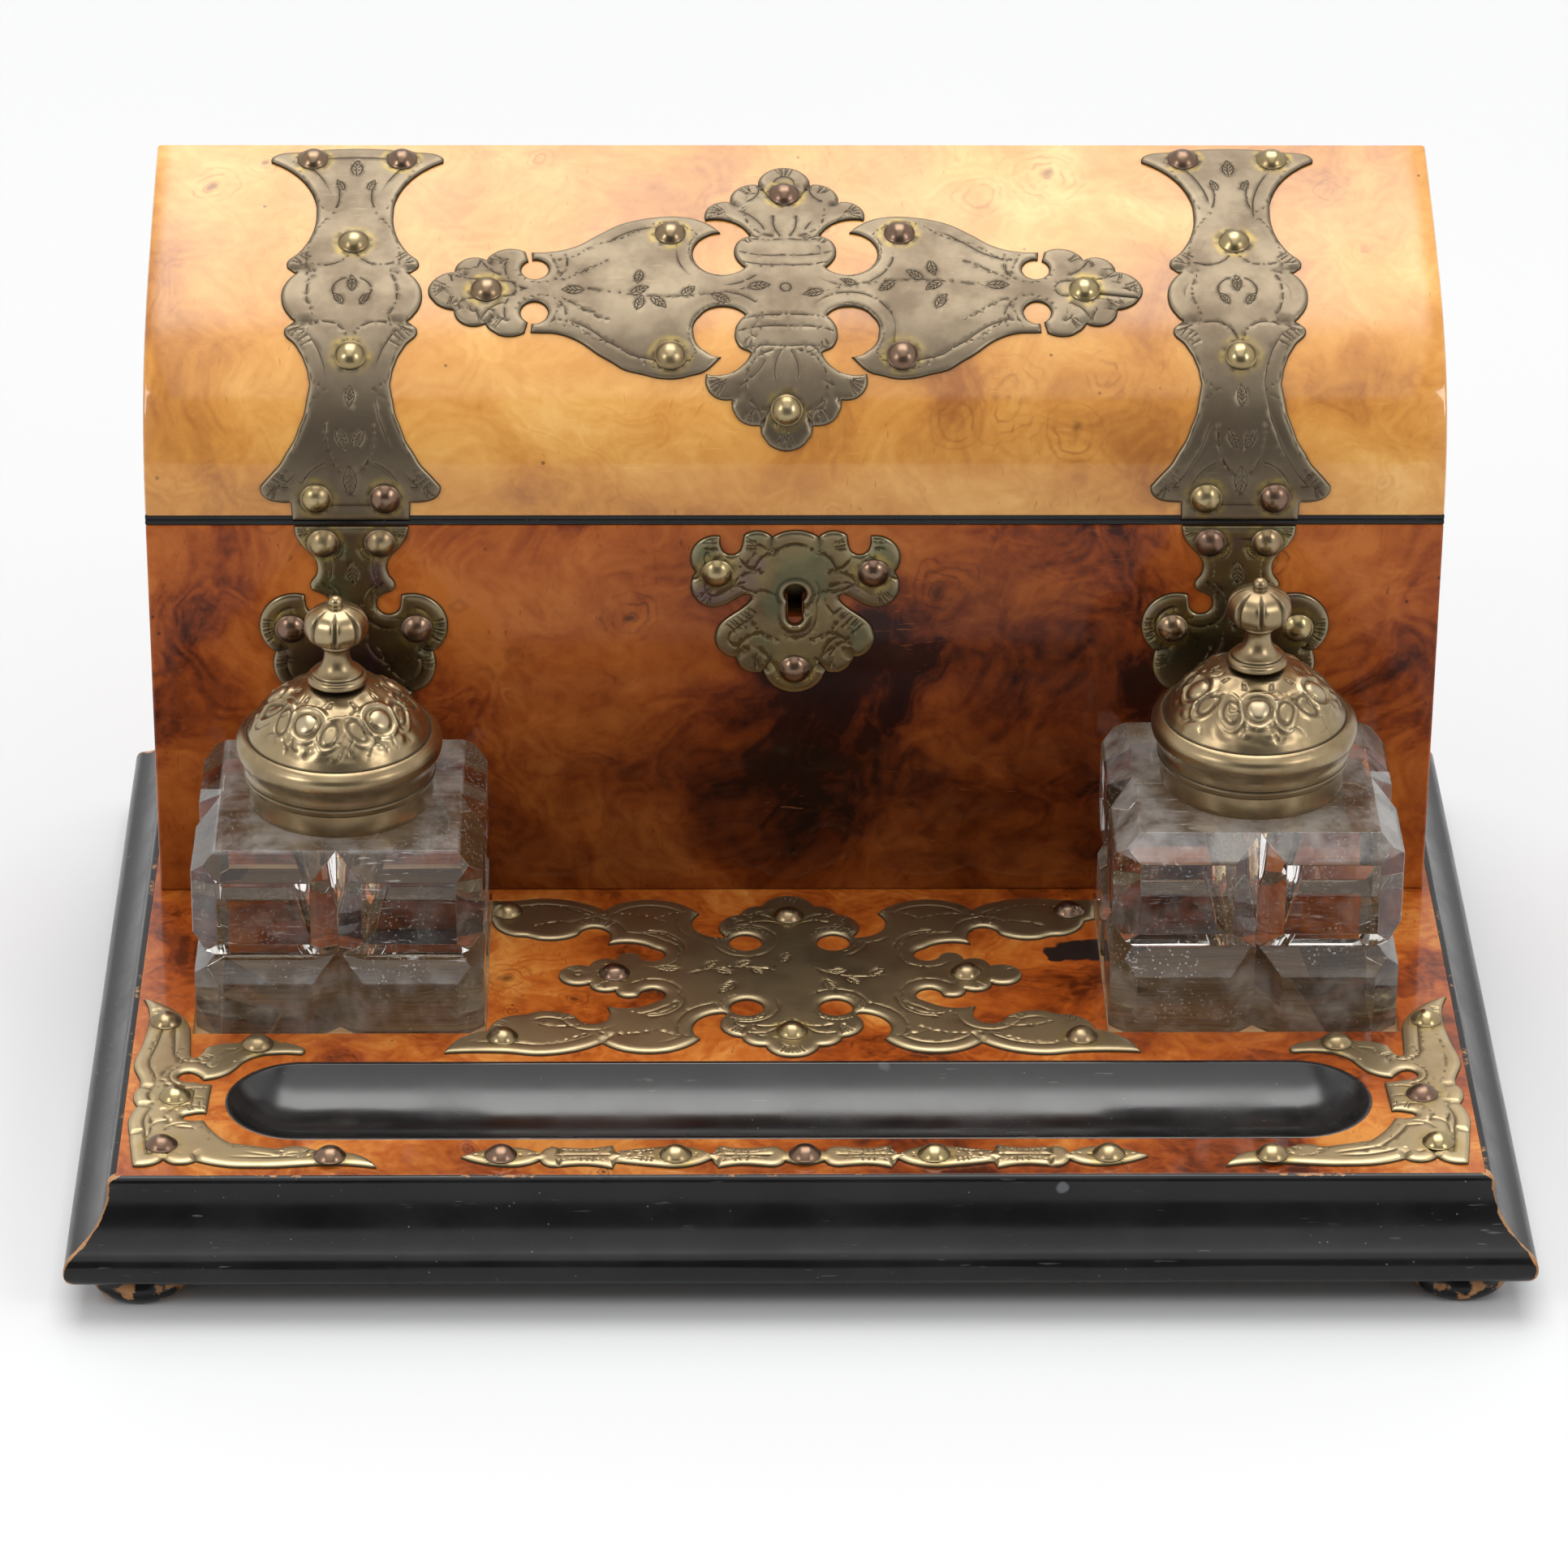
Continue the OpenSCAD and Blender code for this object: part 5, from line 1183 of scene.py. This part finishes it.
# ---- Base ---------------------------------------------------------------------------------------
NOSE_R = 4.6


def moulding(label, turn, half):
    """One mitred length of the base moulding, as a fine sweep so that its arrises can wear"""
    nose_x, nose_z = MOULD_W - NOSE_R, FOOT_H + NOSE_R
    section = trace([[0, FOOT_H, 0], [nose_x, FOOT_H, 0.41], [MOULD_W, nose_z, 0.3],
        [nose_x + 2.2, nose_z + 4.2, -0.28], [1.8, DECK_Z - 1.6, 0.3], [0.9, DECK_Z, 0], [0, DECK_Z, 0]], 6)
    along = np.concatenate([np.linspace(0, 0.03, 7), np.linspace(0.04, 0.96, 90),
        np.linspace(0.97, 1, 7)]) * 2 - 1
    verts, wear = [], []
    c, s = math.cos(turn), math.sin(turn)
    reach = (DECK_D if half == DECK_W / 2 else DECK_W) / 2
    for t in along:
        for p, z in section:
            x = t * (half + p)
            wave = 0.10 * noise.noise((x / 35 + turn * 7, p / 9, z / 9)) * (0 < p < MOULD_W - 0.2)
            out = reach + p + wave
            verts.append((x * c + out * s, x * s - out * c, z))
            mitre = (1 - abs(t)) * (half + p)
            worn = 0.95 * max(0, 1 - mitre / 1.6) + 0.5 * max(0, 1 - abs(z - DECK_Z) / 0.7)
            worn += 0.34 * max(0, 1 - abs(z - FOOT_H - 1.0) / 1.6) * (p > nose_x)
            worn += 0.3 * noise.noise((x / 26 + turn, p / 6, z / 6))
            wear.append(worn)
    n = len(section)
    faces = []
    for i in range(len(along) - 1):
        for k in range(n):
            j = (k + 1) % n
            faces.append((i * n + j, i * n + k, (i + 1) * n + k, (i + 1) * n + j))
    faces += [tuple(range(n)), tuple(reversed(range((len(along) - 1) * n, len(along) * n)))]
    make(label + "_run", verts, faces, "stand", ebony, [label], {"wear": wear}, smooth=40)


moulding("moulding_front", 0, DECK_W / 2)
moulding("moulding_right", math.pi / 2, DECK_D / 2)
moulding("moulding_back", math.pi, DECK_W / 2)
moulding("moulding_left", -math.pi / 2, DECK_D / 2)

tray_low, tray_high = box_mm("pen_tray")
TRAY_R = (tray_high[1] - tray_low[1]) / 2
TRAY_HALF = tray_high[0] - TRAY_R
TRAY_RIM, TRAY_DISH = 1.2, 6.8


def pen_tray():
    """The dished tray: rings of the same stadium, from its spine out to its rim and down its wall"""
    dish = TRAY_R - TRAY_RIM
    dish_r = (dish ** 2 + TRAY_DISH ** 2) / (2 * TRAY_DISH)
    rows = [(0.02, -TRAY_DISH)]
    for k in range(1, 25):
        r = dish * math.sin(math.pi / 2 * k / 25)
        rows.append((r, dish_r - TRAY_DISH - math.sqrt(dish_r ** 2 - r ** 2)))
    rows += [(dish - 0.1, -0.16), (dish + 0.12, -0.03), (dish + 0.4, 0.0), (TRAY_R - 0.3, 0.0),
        (TRAY_R - 0.08, -0.06), (TRAY_R, -0.3), (TRAY_R, tray_low[2] - DECK_Z), (0.02, tray_low[2] - DECK_Z)]
    mid_y = (tray_high[1] + tray_low[1]) / 2
    spine = [(x, 1, 90) for x in np.linspace(TRAY_HALF, -TRAY_HALF, 60)]
    spine += [(-TRAY_HALF, 0, a) for a in np.linspace(90, 270, 34)[1:-1]]
    spine += [(x, -1, 270) for x in np.linspace(-TRAY_HALF, TRAY_HALF, 60)]
    spine += [(TRAY_HALF, 0, a) for a in np.linspace(-90, 90, 34)[1:-1]]
    verts, wear = [], []
    for x, _, a in spine:
        a = math.radians(a)
        for r, z in rows:
            verts.append((x + r * math.cos(a), mid_y + r * math.sin(a), DECK_Z + z))
            wear.append(0.62 * (1 - min(1, abs(r - TRAY_R) / 0.5)) * (z > -0.5) + 0.18
                * noise.noise((x / 20, r / 5, a)))
    n, m = len(rows), len(spine)
    faces = [(i * n + k, ((i + 1) % m) * n + k, ((i + 1) % m) * n + k + 1, i * n + k + 1) for i in range(m)
        for k in range(n - 1)]
    faces += [[i * n + k for i in range(m)] for k in (0, n - 1)]
    mesh = solid("pen_tray_dish", verts, faces, {"wear": wear}, False, True)
    place("pen_tray_dish", mesh, "stand", tray_ebony, ["pen_tray"], 40)


pen_tray()

for k, (x, y, _) in enumerate(sorted(p.tolist() for p in islands("bun_feet"))):
    foot_r = 11.5
    turned(f"bun_foot_{k + 1}",
        trace([[3.5, 3, 0], [3.5, 0, 0], [foot_r - 3, 0, 0.3], [foot_r, FOOT_H * 0.45, 0.3],
        [foot_r - 2, FOOT_H, 0], [1.8, FOOT_H, 0], [1.8, 3, 0], [3.5, 3, 0]], 12), (x, y, 0), "stand", ebony,
        "bun_feet", 64,
        ("wear", lambda p: 0.55 + 0.5 * noise.noise((p[0] / 4 + x, p[1] / 4 + y, p[2] / 3))))

# ---- Boards -------------------------------------------------------------------------------------
softened("base_board", "stand", oak, 0.5, 8)
softened("deck_board", "stand", deck_walnut, 0.25, 6)
softened("casket_front", "stand", casket_walnut, 0.7, 6, 3)
for label in ("casket_left", "casket_right"):
    softened(label, "stand", casket_walnut, 0.15, 6)
softened("casket_back", "stand", casket_walnut, 0.5, 6)
softened("casket_floor", "stand", oak, 0.3, 6)
softened("dividers", "stand", plain_walnut, 0.5, 6)
softened("casket_edging", "stand", ebony, 0.25, 6)
softened("lid_edging", "lid", ebony, 0.25, 6)
for label in ("lid_end_left", "lid_end_right", "lid_back"):
    softened(label, "lid", lid_walnut, 0.15, 6)


def lid_shell():
    """The curved lid board, its arrises at the ends eased"""
    half, ease = CASKET_W / 2, 0.9
    s = RUN
    outer, inner = lid_point(0, s, 0), lid_point(0, s, -LID_T)
    inner[0, 2] = LID_Z
    inner[-1] = outer[-1] - [0, 0, LID_T / math.cos(math.radians(CURVE[-1, 2]))]
    verts, faces = [], []
    stations = [(-half, ease), (-half + 0.3 * ease, 0.32 * ease), (-half + ease, 0.0)]
    stations += [(x, 0.0) for x in np.linspace(-half + 12, half - 12, 12)] + [(-x, d) for x,
        d in stations[::-1]]
    n = len(s)
    for x, drop in stations:
        eased = lid_point(0, s, -drop)
        eased[0, 2] = LID_Z
        for p in (*eased, *inner[::-1]):
            verts.append((x, p[1], p[2]))
    ring = 2 * n
    for i in range(len(stations) - 1):
        for k in range(ring):
            j = (k + 1) % ring
            faces.append((i * ring + k, i * ring + j, (i + 1) * ring + j, (i + 1) * ring + k))
    for i, flip in ((0, False), (len(stations) - 1, True)):
        for k in range(n - 1):
            q = (i * ring + k, i * ring + ring - 1 - k, i * ring + ring - 2 - k, i * ring + k + 1)
            faces.append(q[::-1] if flip else q)
    mesh = solid("lid_board", verts, faces, {}, False, True)
    place("lid_board", mesh, "lid", lid_walnut, ["lid_shell"], 40)


lid_shell()

# ---- Ironwork kept as the CAD made it -----------------------------------------------------------
brass_parts = ("lock_case", "link_plate", "hinge_body_leaf_left", "hinge_body_leaf_right",
    "hinge_lid_leaf_left", "hinge_lid_leaf_right")
steel_parts = ("lock_bolt", "foot_screws", "casket_screws", "lock_screws", "link_screws", "hinge_body_screws",
    "hinge_lid_screws", "hinge_pins", "ink_hinge_pin_left", "ink_hinge_pin_right")
for label in brass_parts + steel_parts:
    data = NODES[label].data
    data.materials.clear()
    data.materials.append(hinge_brass if label in brass_parts else steel)


# ---- Inkwells -----------------------------------------------------------------------------------
COLLAR_H, RING_H, DOME_H = 7.6, 9.4, 22.4
DOME_FOOT_R = 21.2
INK_HINGE, KNUCKLE_R, KNUCKLE_L = 24.6, 1.7, 3.4


def knuckles(middle_one, at):
    """Returns a function that adds the hinge knuckles of a collar or a lid ring to its mesh"""
    def extra(bm):
        for k in (-1, 0, 1):
            if (k == 0) != middle_one:
                continue
            x = at[0] + k * KNUCKLE_L
            where = Matrix.Translation(Vector((x, at[1] + INK_HINGE, at[2])) * MM) @ Matrix.Rotation(math.pi
                / 2, 4, "Y")
            bmesh.ops.create_cone(bm, cap_ends=True, segments=32, radius1=KNUCKLE_R * MM,
                radius2=KNUCKLE_R * MM, depth=(KNUCKLE_L - 0.3) * MM, matrix=where)
            z0, z1 = (0.1, KNUCKLE_R) if middle_one else (-KNUCKLE_R, -0.1)
            size = Vector((KNUCKLE_L - 0.3, INK_HINGE - DOME_FOOT_R, z1 - z0)) * MM
            spot = Vector((x, at[1] + (INK_HINGE + DOME_FOOT_R) / 2, at[2] + (z0 + z1) / 2)) * MM
            bmesh.ops.create_cube(bm, size=1, matrix=Matrix.Translation(spot) @ Matrix.Diagonal((*size, 1)))
    return extra


MOTIFS = 5
BOSS_AT = 15.6
CAP_R = 23.8


def relief(along, across, seed):
    """Height and darkness of the stamped pattern, along mm from the dome's top and across degrees round it"""
    pitch = 360 / MOTIFS
    near = (across + pitch / 2) % pitch - pitch / 2
    radius = CAP_R * math.sin(along / CAP_R)
    p, q = math.radians(near) * radius, along - BOSS_AT
    gap = math.hypot(p, q)
    a = math.radians(across)
    spot = Vector((radius * math.cos(a), radius * math.sin(a), seed))
    # Worn rococo ground: soft swellings between dark broken outlines
    swell = noise.noise(spot / 3.4)
    line = noise.noise(spot / 4.4 + Vector((7.0, 3.0, 1.0)))
    h, dark = 0.55 * swell, 0.0
    outline = max(0.0, 1 - abs(line + 0.02) / 0.055) * min(1.0,
        max(0.0, 0.75 + 2.2 * noise.noise(spot / 2.6 + Vector((1.0, 9.0, 4.0)))))
    if gap > 4.2:
        h -= 0.45 * outline
        dark = outline
    if gap < 2.7:
        h = 1.25 * math.sqrt(1 - (gap / 2.7) ** 2)
    ring = max(0.0, 1 - abs(gap - 3.15) / 0.6)
    h -= 0.4 * ring
    dark = max(dark, 0.8 * ring)
    h += 0.55 * max(0.0, 1 - abs(gap - 4.4) / 1.0)
    for side in (-1, 1):
        # Open scroll beside the boss, its rough ground inside a dark outline
        e = math.hypot((p - side * 6.6 - 0.5 * swell) / 2.3, (q - 1.4 + 0.8 * line) / 3.2)
        edge = max(0.0, 1 - abs(e - 0.86 - 0.25 * swell) / 0.26)
        h -= 0.5 * edge
        dark = max(dark, edge)
        h += 0.4 * max(0.0, 1 - abs(e - 1.3) / 0.26)
        # Small window towards the knob, and a lobe at the foot
        w = max(abs(p - side * 3.2) / (1.5 + 0.15 * q), abs(q + 6.0) / 1.1)
        edge = max(0.0, 1 - abs(w - 0.7) / 0.35)
        h -= 0.4 * edge
        dark = max(dark, edge)
        h += 0.5 * max(0.0, 1 - math.hypot((p - side * 3.0) / 1.7, (q - 6.0) / 1.3))
    fade = max(0.0, min(1.0, (along - 7.4) / 1.4, (24.2 - along) / 1.2))
    return h * fade * 0.62, min(1.0, dark) * fade


def dome(label, at, body, turn):
    """The stamped dome, from the foot of the knob down to the ring, with its plain inside"""
    rise = DOME_H - RING_H
    sphere_r = (DOME_FOOT_R ** 2 + rise ** 2) / (2 * rise)
    lows, highs = math.asin(2.5 / sphere_r), math.asin(DOME_FOOT_R / sphere_r)
    count, rows = 300, 96
    verts, cut, rim = [], [], []
    for k in range(count):
        a = 2 * math.pi * k / count
        for i in range(rows):
            b = lows + (highs - lows) * i / (rows - 1)
            h, dark = relief(b * sphere_r, math.degrees(a) + 90 + turn, turn)
            h += 0.08 * noise.noise((math.cos(a) * b * 6, math.sin(a) * b * 6, turn))
            r = sphere_r + h
            verts.append((r * math.sin(b) * math.cos(a), r * math.sin(b) * math.sin(a),
                DOME_H - sphere_r + r * math.cos(b)))
            cut.append(min(1.0, dark + 0.8 * (i > rows - 3)))
            rim.append(max(0.0, min(1.0, h * 1.1)))
        for b in (highs * 0.97, lows):
            r = sphere_r - 1.2
            verts.append((r * math.sin(b) * math.cos(a), r * math.sin(b) * math.sin(a),
                max(RING_H, DOME_H - sphere_r + r * math.cos(b))))
            cut.append(0.5)
            rim.append(0.0)
    n = rows + 2
    faces = [(k * n + i, ((k + 1) % count) * n + i, ((k + 1) % count) * n + (i + 1) % n, k * n + (i + 1) % n)
        for k in range(count) for i in range(n)]
    make(label + "_stamped", np.array(verts) + at, [f[::-1] for f in faces], body, well_brass, [label],
        {"cut": cut, "rim": rim}, smooth=60)


MELON = (10.4, 19.0)
LOBE = math.pi / 4


def groove(a):
    """Angle from the middle of the nearest of the eight grooves, and how deep in it that is"""
    near = (a + LOBE / 2) % LOBE - LOBE / 2
    return near, math.exp(-(near / 0.07) ** 2)


def gadroon(r, z, a):
    """Eight grooves down the melon of the knob"""
    low, high = MELON
    if low < z < high:
        near, deep = groove(a)
        cut_in = deep + 0.12 * (1 - math.cos(near * 8))
        r -= 0.85 * cut_in * min(1, (z - low) / 2.2) * min(1, (high - z) / 1.6) * min(1, r / 3)
    return r, z


def groove_shade(p):
    if 10.8 < p[2] < 18.8 and math.hypot(p[0], p[1]) > 2:
        return 0.8 * groove(math.atan2(p[1], p[0]))[1]
    return 0.9 if p[2] < 0.25 or abs(p[2] - 2.2) < 0.25 else 0.0


def collar_shade(p):
    return max(0.0, 1 - abs(p[2] + 0.1) / 0.6)


def ring_shade(p):
    if p[2] > 9:
        return max(0.0, 1 - abs(math.hypot(p[0], p[1]) - 21.3) / 0.6)
    return max(0.0, 1 - p[2] / 0.4)


NECK_R = 18.5
COLLAR = trace([[NECK_R, -COLLAR_H, 0], [20.9, -COLLAR_H, 0.4], [21.3, -COLLAR_H + 0.5, 0.1],
    [21.5, -COLLAR_H + 1.4, 0], [21.6, -2.2, 0.2], [22.15, -1, 0.3], [22.2, -0.25, 0.4], [21.9, -0.02, 0],
    [17.2, -0.02, 0], [17.2, -2, 0], [NECK_R, -2.4, 0], [NECK_R, -COLLAR_H, 0]], 12)
LID_RING = trace([[20.4, 0.02, 0], [21.9, 0.02, 0.4], [22.3, 0.3, 0], [22.4, 1.6, -0.15], [23.6, 4.8, 0.1],
    [23.9, 6.4, 0.25], [23, 8.6, 0.15], [21.9, RING_H, 0.3], [21.3, RING_H - 0.1, 0],
    [20.2, RING_H - 0.1, -0.15], [22, 6.6, -0.2], [20.6, 3, 0], [20.4, 0.02, 0]], 8)
KNOB = trace([[0, -2.8, 0], [2.4, -2.8, 0], [2.4, 0.0, 0], [6.6, 0, 0.5], [7.0, 0.8, 0.3], [6.5, 1.7, -0.3],
    [6.0, 2.0, 0.3], [5.5, 2.8, -0.26], [3.0, 6.6, -0.15], [3.3, 8.8, 0.2], [3.9, 9.3, 0.2], [3.8, 9.9, -0.2],
    [5.4, 10.6, 0.35], [7.5, 14.4, 0.32], [4.4, 18.4, 0.12], [1.7, 19.0, -0.2], [1.7, 19.8, 0.5], [0, 21.6, 0]],
    8)


def inkwell(label, turn):
    low, high = box_mm(f"ink_glass_{label}")
    hinge = next(j for j in frame["joints"] if j["name"] == f"inkwell_{label}_lid_hinge")
    seam = hinge["pos_m"][2] / MM
    at = np.array([(low[0] + high[0]) / 2, (low[1] + high[1]) / 2, seam])
    body, lid = f"inkwell_{label}", f"inkwell_{label}_lid"
    softened(f"ink_glass_{label}", body, glass, 0.16, 1.8, 1, smooth=24)
    collar, ring, knob = f"ink_collar_{label}", f"ink_lid_ring_{label}", f"ink_knob_{label}"
    turned(collar + "_band", COLLAR, at, body, well_brass, collar, 128, ("cut", collar_shade),
        extra=knuckles(False, at))
    turned(ring + "_band", LID_RING, at, lid, well_brass, ring, 128, ("cut", ring_shade),
        extra=knuckles(True, at))
    dome(f"ink_dome_{label}", at, lid, turn)
    turned(knob + "_turned", KNOB, at + [0, 0, DOME_H], lid, well_brass, knob, 192,
        ("cut", groove_shade), gadroon, 60)


inkwell("left", 28)
inkwell("right", 2)


# ---- Floor, light and camera --------------------------------------------------------------------
FLOOR_HALF = 6.0


def floor():
    s = Shader("pale_floor")
    tone = s.noise(160, 2.0, 0.5)
    s.set(Base_Color=s.mix(tone, (0.585, 0.59, 0.60), (0.60, 0.605, 0.615)), Roughness=0.65)
    mesh = bpy.data.meshes.new("floor")
    far = FLOOR_HALF
    mesh.from_pydata([(-far, -far, 0), (far, -far, 0), (far, far, 0), (-far, far, 0)], [], [(0, 1, 2, 3)])
    obj = bpy.data.objects.new("floor", mesh)
    mesh.materials.append(s.material)
    bpy.context.scene.collection.objects.link(obj)


LAMP_W, LAMP_YZ, LAMP_AIM = 4.2, (-0.75, 0.95), (0, 0.02, 0.08)


def studio():
    """A long softbox overhead in a pale studio, as a sky, with a lamp at each side"""
    world = bpy.data.worlds.new("studio")
    bpy.context.scene.world = world
    world.use_nodes = True
    sky = Nodes(world.node_tree)
    back = sky.tree.nodes["Background"]
    coord = sky.tree.nodes.new("ShaderNodeTexCoord")
    x, y, z = sky.split(coord.outputs["Generated"])
    up = sky.most(z, 0.02)
    across, along = sky.math("ABSOLUTE", sky.math("DIVIDE", x, up)), sky.math("DIVIDE", y, up)
    reach = sky.mul(sky.span(along, -1.14, -0.88), sky.span(along, 1.60, 1.10))
    fade = sky.plus(sky.span(along, -0.1, 0.15, 1.15, 4.3), sky.span(along, 0.5, 0.9, 0.0, -1.7))
    soft = sky.mul(sky.span(across, 0.46, 0.32), sky.mul(reach, fade))
    sides = sky.span(sky.math("ABSOLUTE", x), 0.30, 0.65)
    wall = sky.most(sky.span(y, -0.5, 0.35, 0.15, 0.80), sides)
    sky.feed(back.inputs["Strength"], sky.plus(wall, soft))
    back.inputs["Color"].default_value = (1, 0.995, 0.985, 1)
    for x0 in (-1.0, 1.0):
        lamp = bpy.data.lights.new("side_lamp", "AREA")
        lamp.shape, lamp.size, lamp.size_y, lamp.energy = "RECTANGLE", 0.32, 0.5, LAMP_W
        obj = bpy.data.objects.new("side_lamp", lamp)
        obj.location = (x0, *LAMP_YZ)
        obj.rotation_euler = (Vector(LAMP_AIM) - obj.location).to_track_quat("-Z", "Y").to_euler()
        bpy.context.scene.collection.objects.link(obj)


CAMERA_AT = (-29.059, -1422.545, 841.577)
CAMERA_TURN = (1.06406, 28.45432, 0.43882)
LENS, SENSOR = 158.14, 36


def camera():
    """The photograph's viewing angle: a long lens, 28 degrees above the table, a degree off square"""
    yaw, pitch, roll = (math.radians(a) for a in CAMERA_TURN)
    ahead = Vector((math.sin(yaw) * math.cos(pitch), math.cos(yaw) * math.cos(pitch), -math.sin(pitch)))
    right = Vector((math.cos(yaw), -math.sin(yaw), 0))
    up = right.cross(ahead)
    right, up = math.cos(roll) * right + math.sin(roll) * up, math.cos(roll) * up - math.sin(roll) * right
    lens = bpy.data.cameras.new("camera")
    lens.sensor_width, lens.lens = SENSOR, LENS
    lens.clip_start, lens.clip_end = 0.1, 50
    obj = bpy.data.objects.new("camera", lens)
    turn = Matrix((right, up, -ahead)).transposed().to_4x4()
    obj.matrix_world = Matrix.Translation(Vector(CAMERA_AT) * MM) @ turn
    bpy.context.scene.collection.objects.link(obj)
    bpy.context.scene.camera = obj


floor()
studio()
camera()
bpy.context.scene.view_settings.view_transform = "Standard"
